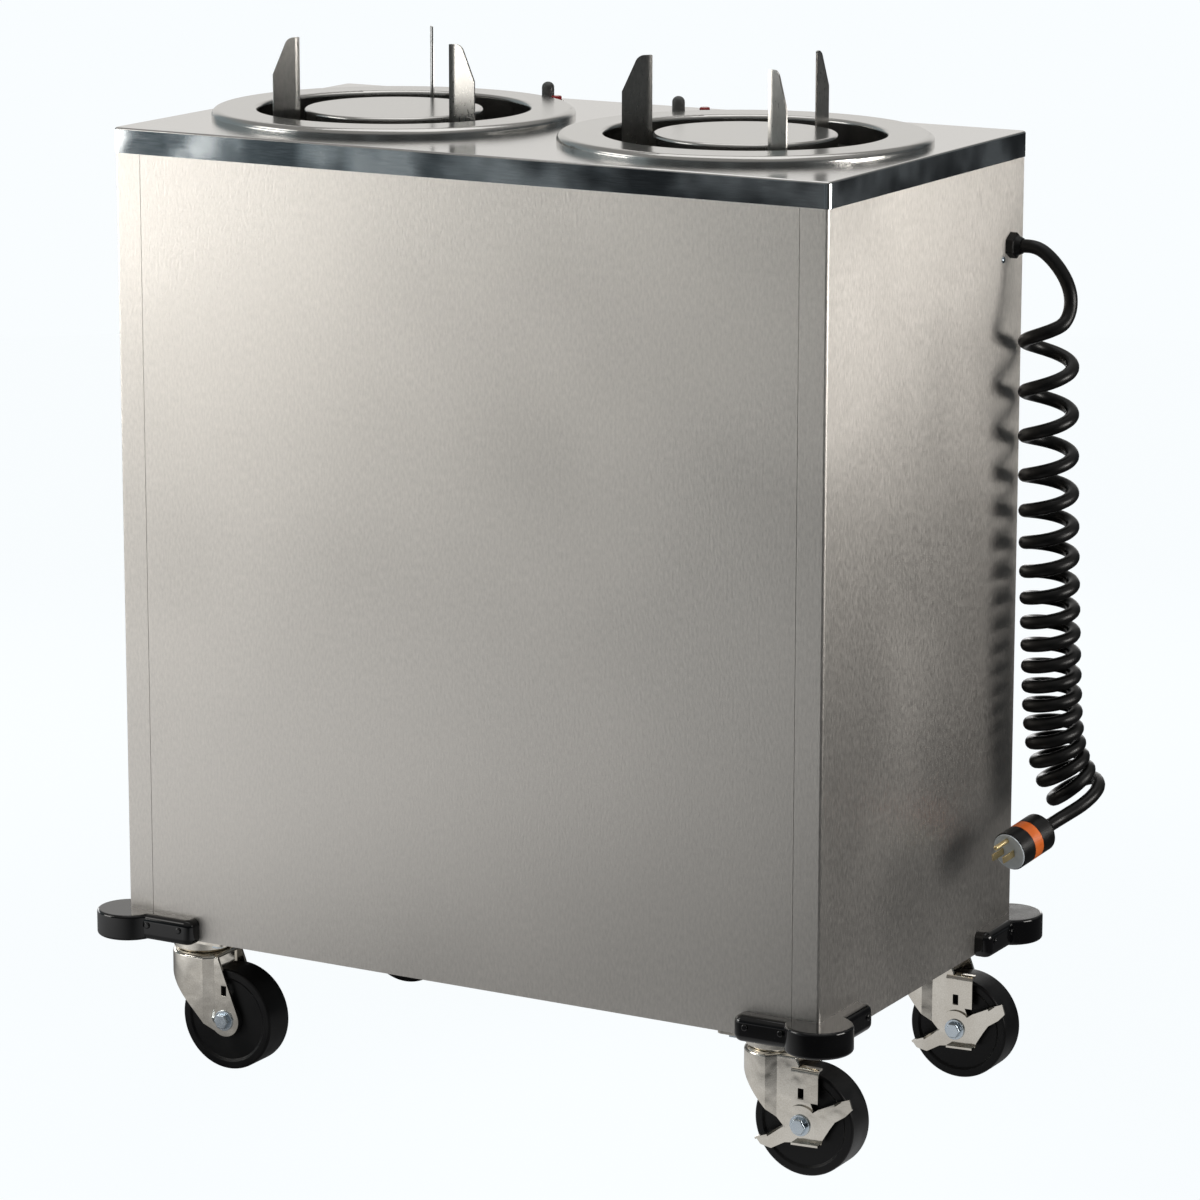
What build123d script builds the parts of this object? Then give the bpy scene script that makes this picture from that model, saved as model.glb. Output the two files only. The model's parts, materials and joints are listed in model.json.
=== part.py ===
"""Two-well heated plate dispenser cart, in millimetres.

The origin is on the floor under the middle of the cart: x runs along its
length, y from the front to the back, z up.  Each function makes one piece,
or one group of like pieces, and the last section writes a file for each.
"""
from build123d import *
import math
import os

os.makedirs("parts", exist_ok=True)

# ---------------------------------------------------------------- cabinet
DECK_WIDTH = 417.0
DECK_END_MARGIN = 13.0
DECK_TOP = 927.0
DECK_SHEET = 1.5
APRON_DEPTH = 24.5
APRON_CORNER = 6.0
DECK_EDGE_BEND = 2.5
PANEL_SHEET = 1.2
PANEL_BOTTOM = 134.4
PANEL_BEND = 3.0
PANEL_RETURN = 28.0
PANEL_HEM = 12.0
SEAM_GAP = 0.4
PAN_BOTTOM = 156.0
PAN_SHEET = 1.5
PAN_EDGE = 20.0
POST_LEG = 16.0
POST_SHEET = 2.0

# ------------------------------------------------------------------ wells
WELL_GAP = 32.0
WELL_SHIFT = -4.0
COLLAR_RADIUS = 176.0
COLLAR_SEAT = 15.0
COLLAR_OPENING = 132.0
COLLAR_RISE = 9.0
COLLAR_SHEET = 1.5
COLLAR_OUTER_ROLL = 6.5
COLLAR_INNER_ROLL = 4.0
COLLAR_LIP = 14.0
LIP_CLEARANCE = 0.15
TUBE_SHEET = 1.2
TUBE_TOP_DROP = 4.0
SLOT_WIDTH = 26.0
SLOT_END_MARGIN = 12.0
SLOT_FOOT = 29.5
GUIDE_TO_TUBE = 15.65
GUIDE_COUNT = 3
GUIDE_LEG = 22.3
GUIDE_LEG_TURN = 12.5
GUIDE_LIP = 6.4
GUIDE_LIP_BEND = 20.0
GUIDE_SHEET = 1.5
GUIDE_STANDS_UP = 77.5
GUIDE_FLAT = 12.0
GUIDE_TOP_ROUND = 9.0
GUIDE_TIP_ROUND = 3.0
GUIDE_SHOULDER_DROP = 38.0
GUIDE_BOTTOM_GAP = 60.0
GUIDE_TAB_HEIGHT = 26.0
GUIDE_TAB_LEVELS = 4
GUIDE_ANGLES = {"left": -17.7, "right": -43.8}
CARRIER_CLEARANCE = 4.3
CARRIER_SHEET = 1.5
CARRIER_RIM = 12.0
CARRIER_RIM_BEND = 3.0
CARRIER_OVER_DECK = 8.5
CARRIAGE_POST = 260.0
CARRIAGE_POST_RADIUS = 19.0
CARRIAGE_FLANGE_RADIUS = 45.0
ARM_WIDTH = 20.0
ARM_THICK = 5.0
ARM_PAST_SPRING = 8.0
SPRING_RADIUS = 7.0
SPRING_TO_TUBE = 4.15
SPRING_GAP = 0.3
HANGER_DROP = 22.0
HANGER_THICK = 3.0
HANGER_WIDTH = 18.0
HEATER_CIRCLE = 96.0
HEATER_RADIUS = 4.0
HEATER_HEIGHT = 14.0
HEATER_SWEEP = 300.0
HEATER_CLIP = 5.0

# --------------------------------------------------------------- controls
SWITCH_AT = {"left": (66.5, 9.4), "right": (137.4, 16.2)}
PILOT_AT = {"left": (61.3, 8.4), "right": (129.25, 21.6)}
SWITCH_BUSHING_RADIUS = 6.0
SWITCH_NUT_FLATS = 15.0
SWITCH_NUT_HEIGHT = 5.0
SWITCH_WASHER_RADIUS = 8.4
SWITCH_WASHER_THICK = 1.2
BOOT_RADIUS = 6.2
BOOT_TOP = 20.5
BOOT_PIVOT_RISE = 0.8
BOOT_GAP = 0.3
SWITCH_BODY = (16.0, 30.0, 26.0)
PILOT_LENS_RADIUS = 5.2
PILOT_LENS_RISE = 8.5
PILOT_BEZEL_RADIUS = 7.4
PILOT_BEZEL_RISE = 4.0
PILOT_DEPTH = 20.0
TERMINAL_BOX = (24.0, 60.0, 84.0)

# ---------------------------------------------------------------- bumpers
BUMPER_HEIGHT = 25.4
BUMPER_TOP = 157.4
BUMPER_CORNER_RADIUS = 32.0
BUMPER_ARM = 82.0
BUMPER_PROUD = 16.0
BUMPER_END_RADIUS = 9.0
BUMPER_ARM_EDGE = 7.0
BUMPER_EDGE = 3.0
RIVET_RADIUS = 3.2
RIVET_SHANK_RADIUS = 2.4
RIVET_RISE = 1.6
RIVET_DROP = 10.2
RIVET_PLACES = (31.3, 68.0)

# ---------------------------------------------------------------- casters
CASTER_INSET_X = {"left": 60.0, "right": 66.0}
CASTER_INSET_Y = 42.9
CASTER_TRAIL = 37.6
WHEEL_RADIUS = 50.8
WHEEL_WIDTH = 34.9
WHEEL_EDGE = 2.5
HUB_RADIUS = 15.0
HUB_END_GAP = 0.3
FACE_RECESS = (18.5, 43.0, 2.0)
AXLE_RADIUS = 4.75
RUNNING_CLEARANCE = 0.05
AXLE_HEAD_RADIUS = 10.2
AXLE_FLANGE_THICK = 1.6
AXLE_HEX_FLATS = 14.0
AXLE_HEX_HEIGHT = 5.0
CHANNEL_WIDTH = 84.0
CHANNEL_SHEET = 2.5
CHANNEL_BOTTOM = 132.0
CHANNEL_INSET = 14.0
PLATE_LENGTH = 92.0
PLATE_WIDTH = 68.0
PLATE_THICK = 3.0
PLATE_CORNER = 6.0
RACE_RADIUS = 29.0
RACE_FOOT_RADIUS = 25.5
FORK_TOP = 116.0
FORK_TOP_GAP = 0.3
FORK_RADIUS = 30.0
FORK_SHEET = 3.0
FORK_LOWER_HALF = 22.0
FORK_END_RADIUS = 16.5
FORK_NOSE_BOTTOM = 98.0
FORK_TAIL = 30.0
FORK_EDGE = 4.0
FORK_STEP_LENGTH = 8.0
FORK_STEP_AT = {"plain": -19.0, "braked": -33.8}
FORK_SLOT = (6.0, 10.0)
FORK_SLOT_RISE = 30.0
KING_PIN_RADIUS = 6.0
KING_PIN_HEAD_RADIUS = 11.0
KING_PIN_HEAD = 3.0
BOLT_RADIUS = 4.0
BOLT_SPAN = (64.0, 44.0)
BOLT_HEAD_FLATS = 11.0
BOLT_HEAD_HEIGHT = 4.0

# ----------------------------------------------------------------- brakes
BRAKE_SHEET = 2.0
BRAKE_GAP = 0.3
LEVER_HUB_RADIUS = 18.5
LEVER_FLANGE = 9.0
LEVER_TREAD = 19.0
LEVER_RIGHT_ARM = ((12.0, 13.0), (21.5, 20.0), (38.0, 28.0), (50.0, 32.5), (53.0, 23.0),
                   (46.0, 15.5), (35.5, 8.5), (30.0, 0.5), (23.0, -11.0), (21.5, -16.5))
LEVER_LEFT_ARM = ((-6.0, -17.5), (-16.0, -19.0), (-30.0, -27.0), (-41.0, -25.0),
                  (-46.0, -19.0), (-38.5, -12.7), (-26.0, -8.0), (-17.0, -2.0))
LEVER_CORNER = 2.0
BRACKET_WIDTH = 28.0
BRACKET_START = -10.4
BRACKET_LOW = 22.5
BRACKET_SLOT = (6.0, 10.5)
BRACKET_SLOT_RISE = 30.0
BRACKET_OVER_WHEEL = 2.2
BRACKET_HOOK = 9.0
BRACKET_LEG_GAP = 1.0
BRACKET_BEND = 5.0

# ------------------------------------------------------------------- cord
CORD_DIAMETER = 13.1
GLAND_INSET = 30.4
GLAND_DROP = 105.6
GLAND_FLATS = 21.6
GLAND_HEX = 8.0
GLAND_DOME_RADIUS = 9.8
GLAND_REACH = 13.0
GLAND_THREAD_RADIUS = 8.5
GLAND_NUT_RADIUS = 9.8
GLAND_INSIDE = 14.0
GROUND_SCREW_OFFSET = (-16.1, -12.2)
GROUND_SCREW_RADIUS = 3.2
COIL_AXIS = (421.5, 176.0)
COIL_RADIUS = 22.6
COIL_TURNS = 17.5
COIL_EARLY_TURN = 0.25
COIL_TOP = 733.4
COIL_FACING = 29.08
COIL_PITCH_TOP = 51.35
COIL_PITCH_CLOSE = 13.0
COIL_PITCH_DECAY = 5.95
COIL_DRIFT = 0.9
COIL_BEND = 22.0
COIL_BEND_FROM = 11.5
COIL_BEND_OVER = 6.0
COIL_STEPS_PER_TURN = 4
LEAD_PLACES = ((427.3, 176.6, 795.8), (447.3, 174.3, 769.0))
LEAD_WAYS = ((1.0, 0.0, 0.0), (0.72, 0.0, -0.72), (0.12, -0.25, -0.95))
PLUG_BACK = (454.2, 122.7, 273.7)
PLUG_AXIS = (-0.226, -0.950, -0.2145)
PLUG_BODY_RADIUS = 18.9
PLUG_BODY_LENGTH = 46.4
PLUG_NECK_RADIUS = 8.5
PLUG_NECK_LENGTH = 12.0
PLUG_BAND_START = 30.0
PLUG_BAND_WIDTH = 12.5
PLUG_BAND_DEPTH = 0.8
PLUG_FACE_THICK = 1.6
BLADE_SIZE = (6.4, 1.6, 17.0)
BLADE_SPACING = 12.7
GROUND_PIN_RADIUS = 2.4
GROUND_PIN_DROP = 11.9

# ------------------------------------------------- places worked out once
WELL_SPACING = 2 * COLLAR_RADIUS + WELL_GAP
DECK_LENGTH = WELL_SPACING + 2 * COLLAR_RADIUS + 2 * DECK_END_MARGIN
PANEL_X = DECK_LENGTH / 2 - DECK_SHEET
PANEL_Y = DECK_WIDTH / 2 - DECK_SHEET
SEAM_X = PANEL_X - PANEL_RETURN
INNER_X = PANEL_X - PANEL_SHEET
INNER_Y = PANEL_Y - PANEL_SHEET
PANEL_TOP = DECK_TOP - DECK_SHEET
RIVET_HEIGHT = BUMPER_TOP - RIVET_DROP
PAN_FLOOR = PAN_BOTTOM + PAN_SHEET
SIDES = {"left": -1, "right": 1}
WELL_X = {side: WELL_SHIFT + sign * WELL_SPACING / 2 for side, sign in SIDES.items()}
TUBE_INNER = COLLAR_OPENING + COLLAR_SHEET + LIP_CLEARANCE
TUBE_OUTER = TUBE_INNER + TUBE_SHEET
TUBE_TOP = DECK_TOP - TUBE_TOP_DROP
DECK_HOLE_RADIUS = COLLAR_RADIUS - COLLAR_SEAT
SPRING_CIRCLE = TUBE_OUTER + SPRING_TO_TUBE + SPRING_RADIUS
ARM_REACH = SPRING_CIRCLE + ARM_PAST_SPRING
GUIDE_OUTER = TUBE_INNER - GUIDE_TO_TUBE
CARRIER_TOP = DECK_TOP + CARRIER_OVER_DECK
ARM_TOP = CARRIER_TOP - CARRIER_SHEET - CARRIAGE_POST
CHANNEL_END = PANEL_Y - CHANNEL_INSET
GLAND_Y = PANEL_Y - GLAND_INSET
GLAND_Z = DECK_TOP - GLAND_DROP
GROUND_SCREW_PLACE = (GLAND_Y + GROUND_SCREW_OFFSET[0], GLAND_Z + GROUND_SCREW_OFFSET[1])
SWIVEL_X = {side: sign * (DECK_LENGTH / 2 - CASTER_INSET_X[side]) for side, sign in SIDES.items()}
SWIVEL_Y = DECK_WIDTH / 2 - CASTER_INSET_Y
CASTERS = {
    "front_left": (SWIVEL_X["left"], -SWIVEL_Y),
    "front_right": (SWIVEL_X["right"], -SWIVEL_Y),
    "rear_left": (SWIVEL_X["left"], SWIVEL_Y),
    "rear_right": (SWIVEL_X["right"], SWIVEL_Y),
}
BRAKED = ("front_right", "rear_right")
NUT_TOP = DECK_TOP + SWITCH_WASHER_THICK + SWITCH_NUT_HEIGHT
BOOT_PIVOT = NUT_TOP + BOOT_PIVOT_RISE
PLATE_BOTTOM = CHANNEL_BOTTOM - PLATE_THICK
RACE_BOTTOM = FORK_TOP + FORK_TOP_GAP
CORNERS = [(sx, sy) for sx in (-1, 1) for sy in (-1, 1)]


# ---------------------------------------------------------------- helpers
def block(x0, x1, y0, y1, z0, z1):
    """A box between two corners."""
    return Pos((x0 + x1) / 2, (y0 + y1) / 2, (z0 + z1) / 2) * Box(x1 - x0, y1 - y0, z1 - z0)


def rod(x, y, z0, z1, radius):
    """An upright cylinder."""
    return Pos(x, y, (z0 + z1) / 2) * Cylinder(radius, z1 - z0)


def hexagon(x, y, z0, z1, flats):
    """An upright hexagonal prism of a given width across its flats."""
    outline = RegularPolygon(flats / 2, 6, major_radius=False)
    return Pos(x, y, z0) * extrude(outline, z1 - z0)


def turned(points):
    """A solid turned about the z axis from (radius, height) points."""
    profile = Plane.XZ * make_face(Polyline(*points, close=True))
    return revolve(profile, Axis.Z)


def across_x(x, y, z, radius):
    """A short cylinder along x through a side panel."""
    return Pos(x, y, z) * Rot(0, 90, 0) * Cylinder(radius, 2 * PANEL_HEM)


def across_y(x, y, z, radius):
    """A short cylinder along y through a long panel."""
    return Pos(x, y, z) * Rot(90, 0, 0) * Cylinder(radius, 2 * PANEL_HEM)


def upright_edges(shape):
    """The edges of a shape that run along z."""
    return shape.edges().filter_by(Axis.Z)


def beside_collar(side, angle, margin):
    """A place on the deck at an angle about a well, a margin outside its collar."""
    reach, heading = COLLAR_RADIUS + margin, math.radians(angle)
    return WELL_X[side] + reach * math.cos(heading), reach * math.sin(heading)


SWITCH_PLACES = {side: beside_collar(side, *place) for side, place in SWITCH_AT.items()}
PILOT_PLACES = {side: beside_collar(side, *place) for side, place in PILOT_AT.items()}


def group(pieces):
    """Separate solids kept together under one name."""
    return Compound(children=[solid for piece in pieces for solid in piece.solids()])


def lying_x(shape, x, y, z):
    """A shape made along z, laid along +x from a place."""
    return Pos(x, y, z) * Rot(0, 90, 0) * shape


def lying_front(shape, x, y, z):
    """A shape made along z, laid along -y from a place."""
    return Pos(x, y, z) * Rot(90, 0, 0) * shape


# ---------------------------------------------------------------- cabinet
def make_top_deck():
    """The deck, with its turned-down apron and its holes."""
    half_x, half_y = DECK_LENGTH / 2, DECK_WIDTH / 2
    low = DECK_TOP - APRON_DEPTH
    outer = block(-half_x, half_x, -half_y, half_y, low, DECK_TOP)
    outer = fillet(upright_edges(outer), APRON_CORNER)
    outer = fillet(outer.faces().sort_by(Axis.Z)[-1].edges(), DECK_EDGE_BEND)
    inner = block(-PANEL_X, PANEL_X, -PANEL_Y, PANEL_Y, low, PANEL_TOP)
    inner = fillet(upright_edges(inner), PANEL_BEND)
    deck = outer - inner
    for side in SIDES:
        deck -= rod(WELL_X[side], 0, low, DECK_TOP, DECK_HOLE_RADIUS)
        deck -= rod(*SWITCH_PLACES[side], low, DECK_TOP, SWITCH_BUSHING_RADIUS)
        deck -= rod(*PILOT_PLACES[side], low, DECK_TOP, PILOT_LENS_RADIUS)
    return deck


def make_side_panel(sign):
    """A side panel that wraps round its front and rear corners."""
    seam, outside = sorted((sign * SEAM_X, sign * PANEL_X))
    seam_in, inside = sorted((sign * SEAM_X, sign * INNER_X))
    face = Axis.X if sign > 0 else -Axis.X
    shell = block(seam, outside, -PANEL_Y, PANEL_Y, PANEL_BOTTOM, PANEL_TOP)
    shell = fillet(upright_edges(shell).sort_by(face)[-2:], PANEL_BEND)
    room = block(seam_in, inside, -INNER_Y, INNER_Y, PANEL_BOTTOM, PANEL_TOP)
    room = fillet(upright_edges(room).sort_by(face)[-2:], PANEL_BEND - PANEL_SHEET)
    hem = room & block(-PANEL_X, PANEL_X, -PANEL_Y, PANEL_Y, PANEL_BOTTOM, PANEL_BOTTOM + PANEL_SHEET)
    clear_x = sign * (INNER_X - PANEL_HEM)
    clear_y = INNER_Y - PANEL_HEM
    seam_out = sign * SEAM_X
    low_x, high_x = sorted((seam_out, clear_x))
    hem -= block(low_x, high_x, -clear_y, clear_y, PANEL_BOTTOM, PANEL_BOTTOM + PANEL_SHEET)
    panel = shell - room + hem
    for along in RIVET_PLACES:
        for sy in (-1, 1):
            panel -= across_x(sign * PANEL_X, sy * (PANEL_Y - along), RIVET_HEIGHT, RIVET_SHANK_RADIUS)
    if sign > 0:
        panel -= across_x(PANEL_X, GLAND_Y, GLAND_Z, GLAND_THREAD_RADIUS)
        panel -= across_x(PANEL_X, *GROUND_SCREW_PLACE, GROUND_SCREW_RADIUS / 2)
    return panel


def make_long_panel(sign):
    """The front (-1) or rear (+1) panel between the two side panels' returns."""
    half = SEAM_X - SEAM_GAP
    outside, inside = sign * PANEL_Y, sign * INNER_Y
    low_y, high_y = sorted((outside, inside))
    sheet = block(-half, half, low_y, high_y, PANEL_BOTTOM, PANEL_TOP)
    hem_y = sign * (INNER_Y - PANEL_HEM)
    low_h, high_h = sorted((inside, hem_y))
    sheet += block(-half, half, low_h, high_h, PANEL_BOTTOM, PANEL_BOTTOM + PANEL_SHEET)
    for end in (-1, 1):
        low_e, high_e = sorted((end * half, end * (half - PANEL_SHEET)))
        sheet += block(low_e, high_e, low_h, high_h, PAN_FLOOR + PAN_EDGE, PANEL_TOP)
        for along in RIVET_PLACES:
            sheet -= across_y(end * (PANEL_X - along), outside, RIVET_HEIGHT, RIVET_SHANK_RADIUS)
    return sheet


def make_base_pan():
    """The pan that carries the wells, with its edges turned up inside the panels."""
    outer = block(-INNER_X, INNER_X, -INNER_Y, INNER_Y, PAN_BOTTOM, PAN_FLOOR + PAN_EDGE)
    outer = fillet(upright_edges(outer), PANEL_BEND)
    clear_x, clear_y = INNER_X - PAN_SHEET, INNER_Y - PAN_SHEET
    return outer - block(-clear_x, clear_x, -clear_y, clear_y, PAN_FLOOR, PAN_FLOOR + PAN_EDGE)


def make_corner_posts():
    """Four angle posts that carry the deck on the base pan."""
    out_x, out_y = INNER_X - PAN_SHEET, INNER_Y - PAN_SHEET
    posts = []
    for sx, sy in CORNERS:
        leg = Pos(0, 0, PAN_FLOOR) * extrude(
            Pos(sx * (out_x - POST_LEG / 2), sy * (out_y - POST_LEG / 2)) * Rectangle(POST_LEG, POST_LEG),
            PANEL_TOP - PAN_FLOOR)
        hollow = POST_LEG - POST_SHEET
        cut_x = sx * (out_x - POST_SHEET - hollow / 2)
        cut_y = sy * (out_y - POST_SHEET - hollow / 2)
        cut = Pos(cut_x, cut_y, PAN_FLOOR) * extrude(Rectangle(hollow, hollow), PANEL_TOP - PAN_FLOOR)
        posts.append(leg - cut)
    return group(posts)


def make_caster_channels():
    """Two channels across the cart that carry the casters under the pan."""
    channels = []
    for middle in SWIVEL_X.values():
        half = CHANNEL_WIDTH / 2
        solid = block(middle - half, middle + half, -CHANNEL_END, CHANNEL_END, CHANNEL_BOTTOM, PAN_BOTTOM)
        inner = half - CHANNEL_SHEET
        solid -= block(middle - inner, middle + inner, -CHANNEL_END, CHANNEL_END,
                       CHANNEL_BOTTOM + CHANNEL_SHEET, PAN_BOTTOM)
        for sy in (-1, 1):
            for bolt_x, bolt_y in bolt_places(middle, sy * SWIVEL_Y):
                solid -= rod(bolt_x, bolt_y, CHANNEL_BOTTOM, CHANNEL_BOTTOM + CHANNEL_SHEET, BOLT_RADIUS)
        channels.append(solid)
    return group(channels)


# ------------------------------------------------------------------ wells
def make_collar(side):
    """The rolled ring that covers the deck's hole and lines the well's mouth."""
    top = DECK_TOP + COLLAR_RISE
    low = DECK_TOP - COLLAR_LIP
    solid = turned([(COLLAR_OPENING, low), (COLLAR_RADIUS, low), (COLLAR_RADIUS, top), (COLLAR_OPENING, top)])
    rim = solid.faces().sort_by(Axis.Z)[-1].edges().sort_by(SortBy.LENGTH)
    solid = fillet(rim[-1], COLLAR_OUTER_ROLL)
    rim = solid.faces().sort_by(Axis.Z)[-1].edges().sort_by(SortBy.LENGTH)
    solid = fillet(rim[0], COLLAR_INNER_ROLL)
    inner_wall, outer_wall = COLLAR_OPENING + COLLAR_SHEET, COLLAR_RADIUS - COLLAR_SHEET
    hollow = turned([(inner_wall, low), (outer_wall, low), (outer_wall, top - COLLAR_SHEET),
                     (inner_wall, top - COLLAR_SHEET)])
    rim = hollow.faces().sort_by(Axis.Z)[-1].edges().sort_by(SortBy.LENGTH)
    hollow = fillet(rim[-1], COLLAR_OUTER_ROLL - COLLAR_SHEET)
    rim = hollow.faces().sort_by(Axis.Z)[-1].edges().sort_by(SortBy.LENGTH)
    hollow = fillet(rim[0], COLLAR_INNER_ROLL - COLLAR_SHEET)
    skirt = turned([(inner_wall, low), (COLLAR_RADIUS, low),
                    (COLLAR_RADIUS, DECK_TOP), (inner_wall, DECK_TOP)])
    return Pos(WELL_X[side], 0, 0) * (solid - hollow - skirt)


def arm_angles(side):
    """The directions of the carriage's arms, halfway between the guides."""
    step = 360 / GUIDE_COUNT
    return [GUIDE_ANGLES[side] + step * (index + 0.5) for index in range(GUIDE_COUNT)]


def make_well_tube(side):
    """The slotted tube of a well, with its spring hangers."""
    x = WELL_X[side]
    tube = rod(0, 0, PAN_FLOOR, TUBE_TOP, TUBE_OUTER) - rod(0, 0, PAN_FLOOR, TUBE_TOP, TUBE_INNER)
    slot_top = ARM_TOP + SLOT_END_MARGIN
    slot_low = PAN_FLOOR + SLOT_FOOT
    hanger_top = TUBE_TOP - HANGER_DROP
    for angle in arm_angles(side):
        slot = block(0, 2 * TUBE_OUTER, -SLOT_WIDTH / 2, SLOT_WIDTH / 2, slot_low, slot_top)
        hanger = block(TUBE_INNER, ARM_REACH, -HANGER_WIDTH / 2, HANGER_WIDTH / 2,
                       hanger_top - HANGER_THICK, hanger_top)
        tube = tube - Rot(0, 0, angle) * slot + Rot(0, 0, angle) * hanger - rod(0, 0, 0, TUBE_TOP, TUBE_INNER)
    return Pos(x, 0, 0) * tube


def guide_section():
    """The plan section of a guide: a turned leg with a folded inner lip."""
    leg_turn, lip_turn = math.radians(GUIDE_LEG_TURN), math.radians(GUIDE_LEG_TURN + GUIDE_LIP_BEND)
    end = (GUIDE_OUTER, 0.0)
    fold = (end[0] - GUIDE_LEG * math.cos(leg_turn), end[1] - GUIDE_LEG * math.sin(leg_turn))
    tip = (fold[0] - GUIDE_LIP * math.cos(lip_turn), fold[1] - GUIDE_LIP * math.sin(lip_turn))
    return trace(Polyline(tip, fold, end), GUIDE_SHEET), tip[0]


def guide_side(inner, low, high):
    """The side outline of a guide, rounded at the top and chamfered outside it."""
    shoulder = high - GUIDE_SHOULDER_DROP
    slant_top = (inner + GUIDE_FLAT, high)
    outline = make_face(Polyline((inner - GUIDE_SHEET, low), (GUIDE_OUTER + GUIDE_SHEET, low),
                                 (GUIDE_OUTER + GUIDE_SHEET, shoulder), slant_top,
                                 (inner - GUIDE_SHEET, high), close=True))
    upper = outline.vertices().sort_by(Axis.Y)[-2:].sort_by(Axis.X)
    outline = fillet(upper[1], GUIDE_TOP_ROUND)
    return Plane.XZ * fillet(outline.vertices().sort_by(Axis.Y)[-2:].sort_by(Axis.X)[0], GUIDE_TIP_ROUND)


def make_guides(side):
    """Three guide fins, chamfered at the top and tabbed to the tube's wall."""
    section, inner = guide_section()
    low, high = PAN_FLOOR + GUIDE_BOTTOM_GAP, DECK_TOP + GUIDE_STANDS_UP
    fin = Pos(0, 0, low) * extrude(section, high - low)
    fin &= extrude(guide_side(inner, low, high), GUIDE_LEG, both=True)
    tab_top = TUBE_TOP - COLLAR_LIP - GUIDE_TAB_HEIGHT
    spacing = (tab_top - GUIDE_TAB_HEIGHT - low) / (GUIDE_TAB_LEVELS - 1)
    for level in range(GUIDE_TAB_LEVELS):
        tab_low = low + level * spacing
        tab = block(GUIDE_OUTER - GUIDE_SHEET, TUBE_OUTER, -GUIDE_SHEET / 2, GUIDE_SHEET / 2,
                    tab_low, tab_low + GUIDE_TAB_HEIGHT)
        fin += tab & rod(0, 0, low, high, TUBE_INNER)
    step = 360 / GUIDE_COUNT
    fins = [Rot(0, 0, GUIDE_ANGLES[side] + index * step) * fin for index in range(GUIDE_COUNT)]
    return group([Pos(WELL_X[side], 0, 0) * piece for piece in fins])


def make_carrier_disc(side):
    """The dished disc that the plates stand on, clear of the guides' lips."""
    low = CARRIER_TOP - CARRIER_RIM
    radius = guide_section()[1] - CARRIER_CLEARANCE
    disc = rod(0, 0, low, CARRIER_TOP, radius)
    disc = fillet(disc.edges().sort_by(Axis.Z)[-1], CARRIER_RIM_BEND)
    inside = rod(0, 0, low, CARRIER_TOP - CARRIER_SHEET, radius - CARRIER_SHEET)
    inside = fillet(inside.edges().sort_by(Axis.Z)[-1], CARRIER_RIM_BEND - CARRIER_SHEET)
    return Pos(WELL_X[side], 0, 0) * (disc - inside)


def make_carriage(side):
    """The post and spider under the disc, whose arms reach out through the slots."""
    under = CARRIER_TOP - CARRIER_SHEET
    arm_low = ARM_TOP - ARM_THICK
    flange, post = CARRIAGE_FLANGE_RADIUS, CARRIAGE_POST_RADIUS
    spider = turned([(0, arm_low), (flange, arm_low), (flange, ARM_TOP), (post, ARM_TOP),
                     (post, under - ARM_THICK), (flange, under - ARM_THICK), (flange, under), (0, under)])
    for angle in arm_angles(side):
        arm = block(0, ARM_REACH - ARM_WIDTH / 2, -ARM_WIDTH / 2, ARM_WIDTH / 2, arm_low, ARM_TOP)
        arm += rod(ARM_REACH - ARM_WIDTH / 2, 0, arm_low, ARM_TOP, ARM_WIDTH / 2)
        spider += Rot(0, 0, angle) * arm
    return Pos(WELL_X[side], 0, 0) * spider


def make_lift_springs(side):
    """Three springs that hold the carriage up, each with its end hooks."""
    low = ARM_TOP + SPRING_GAP
    high = TUBE_TOP - HANGER_DROP - HANGER_THICK - SPRING_GAP
    springs = []
    for angle in arm_angles(side):
        spring = rod(SPRING_CIRCLE, 0, low + SPRING_RADIUS, high - SPRING_RADIUS, SPRING_RADIUS)
        spring += rod(SPRING_CIRCLE, 0, low, high, SPRING_RADIUS / 3)
        springs.append(Pos(WELL_X[side], 0, 0) * Rot(0, 0, angle) * spring)
    return group(springs)


def make_heating_elements():
    """A bent heating rod under each carriage, on three clips."""
    elements = []
    for side in SIDES:
        height = PAN_FLOOR + HEATER_HEIGHT
        arc = CenterArc((0, 0, height), HEATER_CIRCLE, GUIDE_ANGLES[side], HEATER_SWEEP)
        element = sweep(Plane(origin=arc @ 0, z_dir=arc % 0) * Circle(HEATER_RADIUS), arc)
        for share in (0.1, 0.5, 0.9):
            place = arc @ share
            element += rod(place.X, place.Y, PAN_FLOOR, height, HEATER_CLIP / 2)
        elements.append(Pos(WELL_X[side], 0, 0) * element)
    return group(elements)


# --------------------------------------------------------------- controls
def boot_seat(x, y):
    """The round hollow that a boot's ball rocks in."""
    return Pos(x, y, BOOT_PIVOT) * Sphere(BOOT_RADIUS + BOOT_GAP)


def make_toggle_switches():
    """The switch bodies under the deck and their bushings through it."""
    width, depth, drop = SWITCH_BODY
    switches = []
    for side in SIDES:
        x, y = SWITCH_PLACES[side]
        switch = block(x - width / 2, x + width / 2, y - depth / 2, y + depth / 2,
                       PANEL_TOP - drop, PANEL_TOP)
        switch += rod(x, y, PANEL_TOP, NUT_TOP, SWITCH_BUSHING_RADIUS)
        switches.append(switch - boot_seat(x, y))
    return group(switches)


def make_toggle_nuts():
    """A hex nut on a washer round each bushing."""
    nuts = []
    for side in SIDES:
        x, y = SWITCH_PLACES[side]
        washer_top = DECK_TOP + SWITCH_WASHER_THICK
        nut = rod(x, y, DECK_TOP, washer_top, SWITCH_WASHER_RADIUS)
        nut += hexagon(x, y, washer_top, NUT_TOP, SWITCH_NUT_FLATS)
        nuts.append(nut - rod(x, y, DECK_TOP, NUT_TOP, SWITCH_BUSHING_RADIUS) - boot_seat(x, y))
    return group(nuts)


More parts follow.
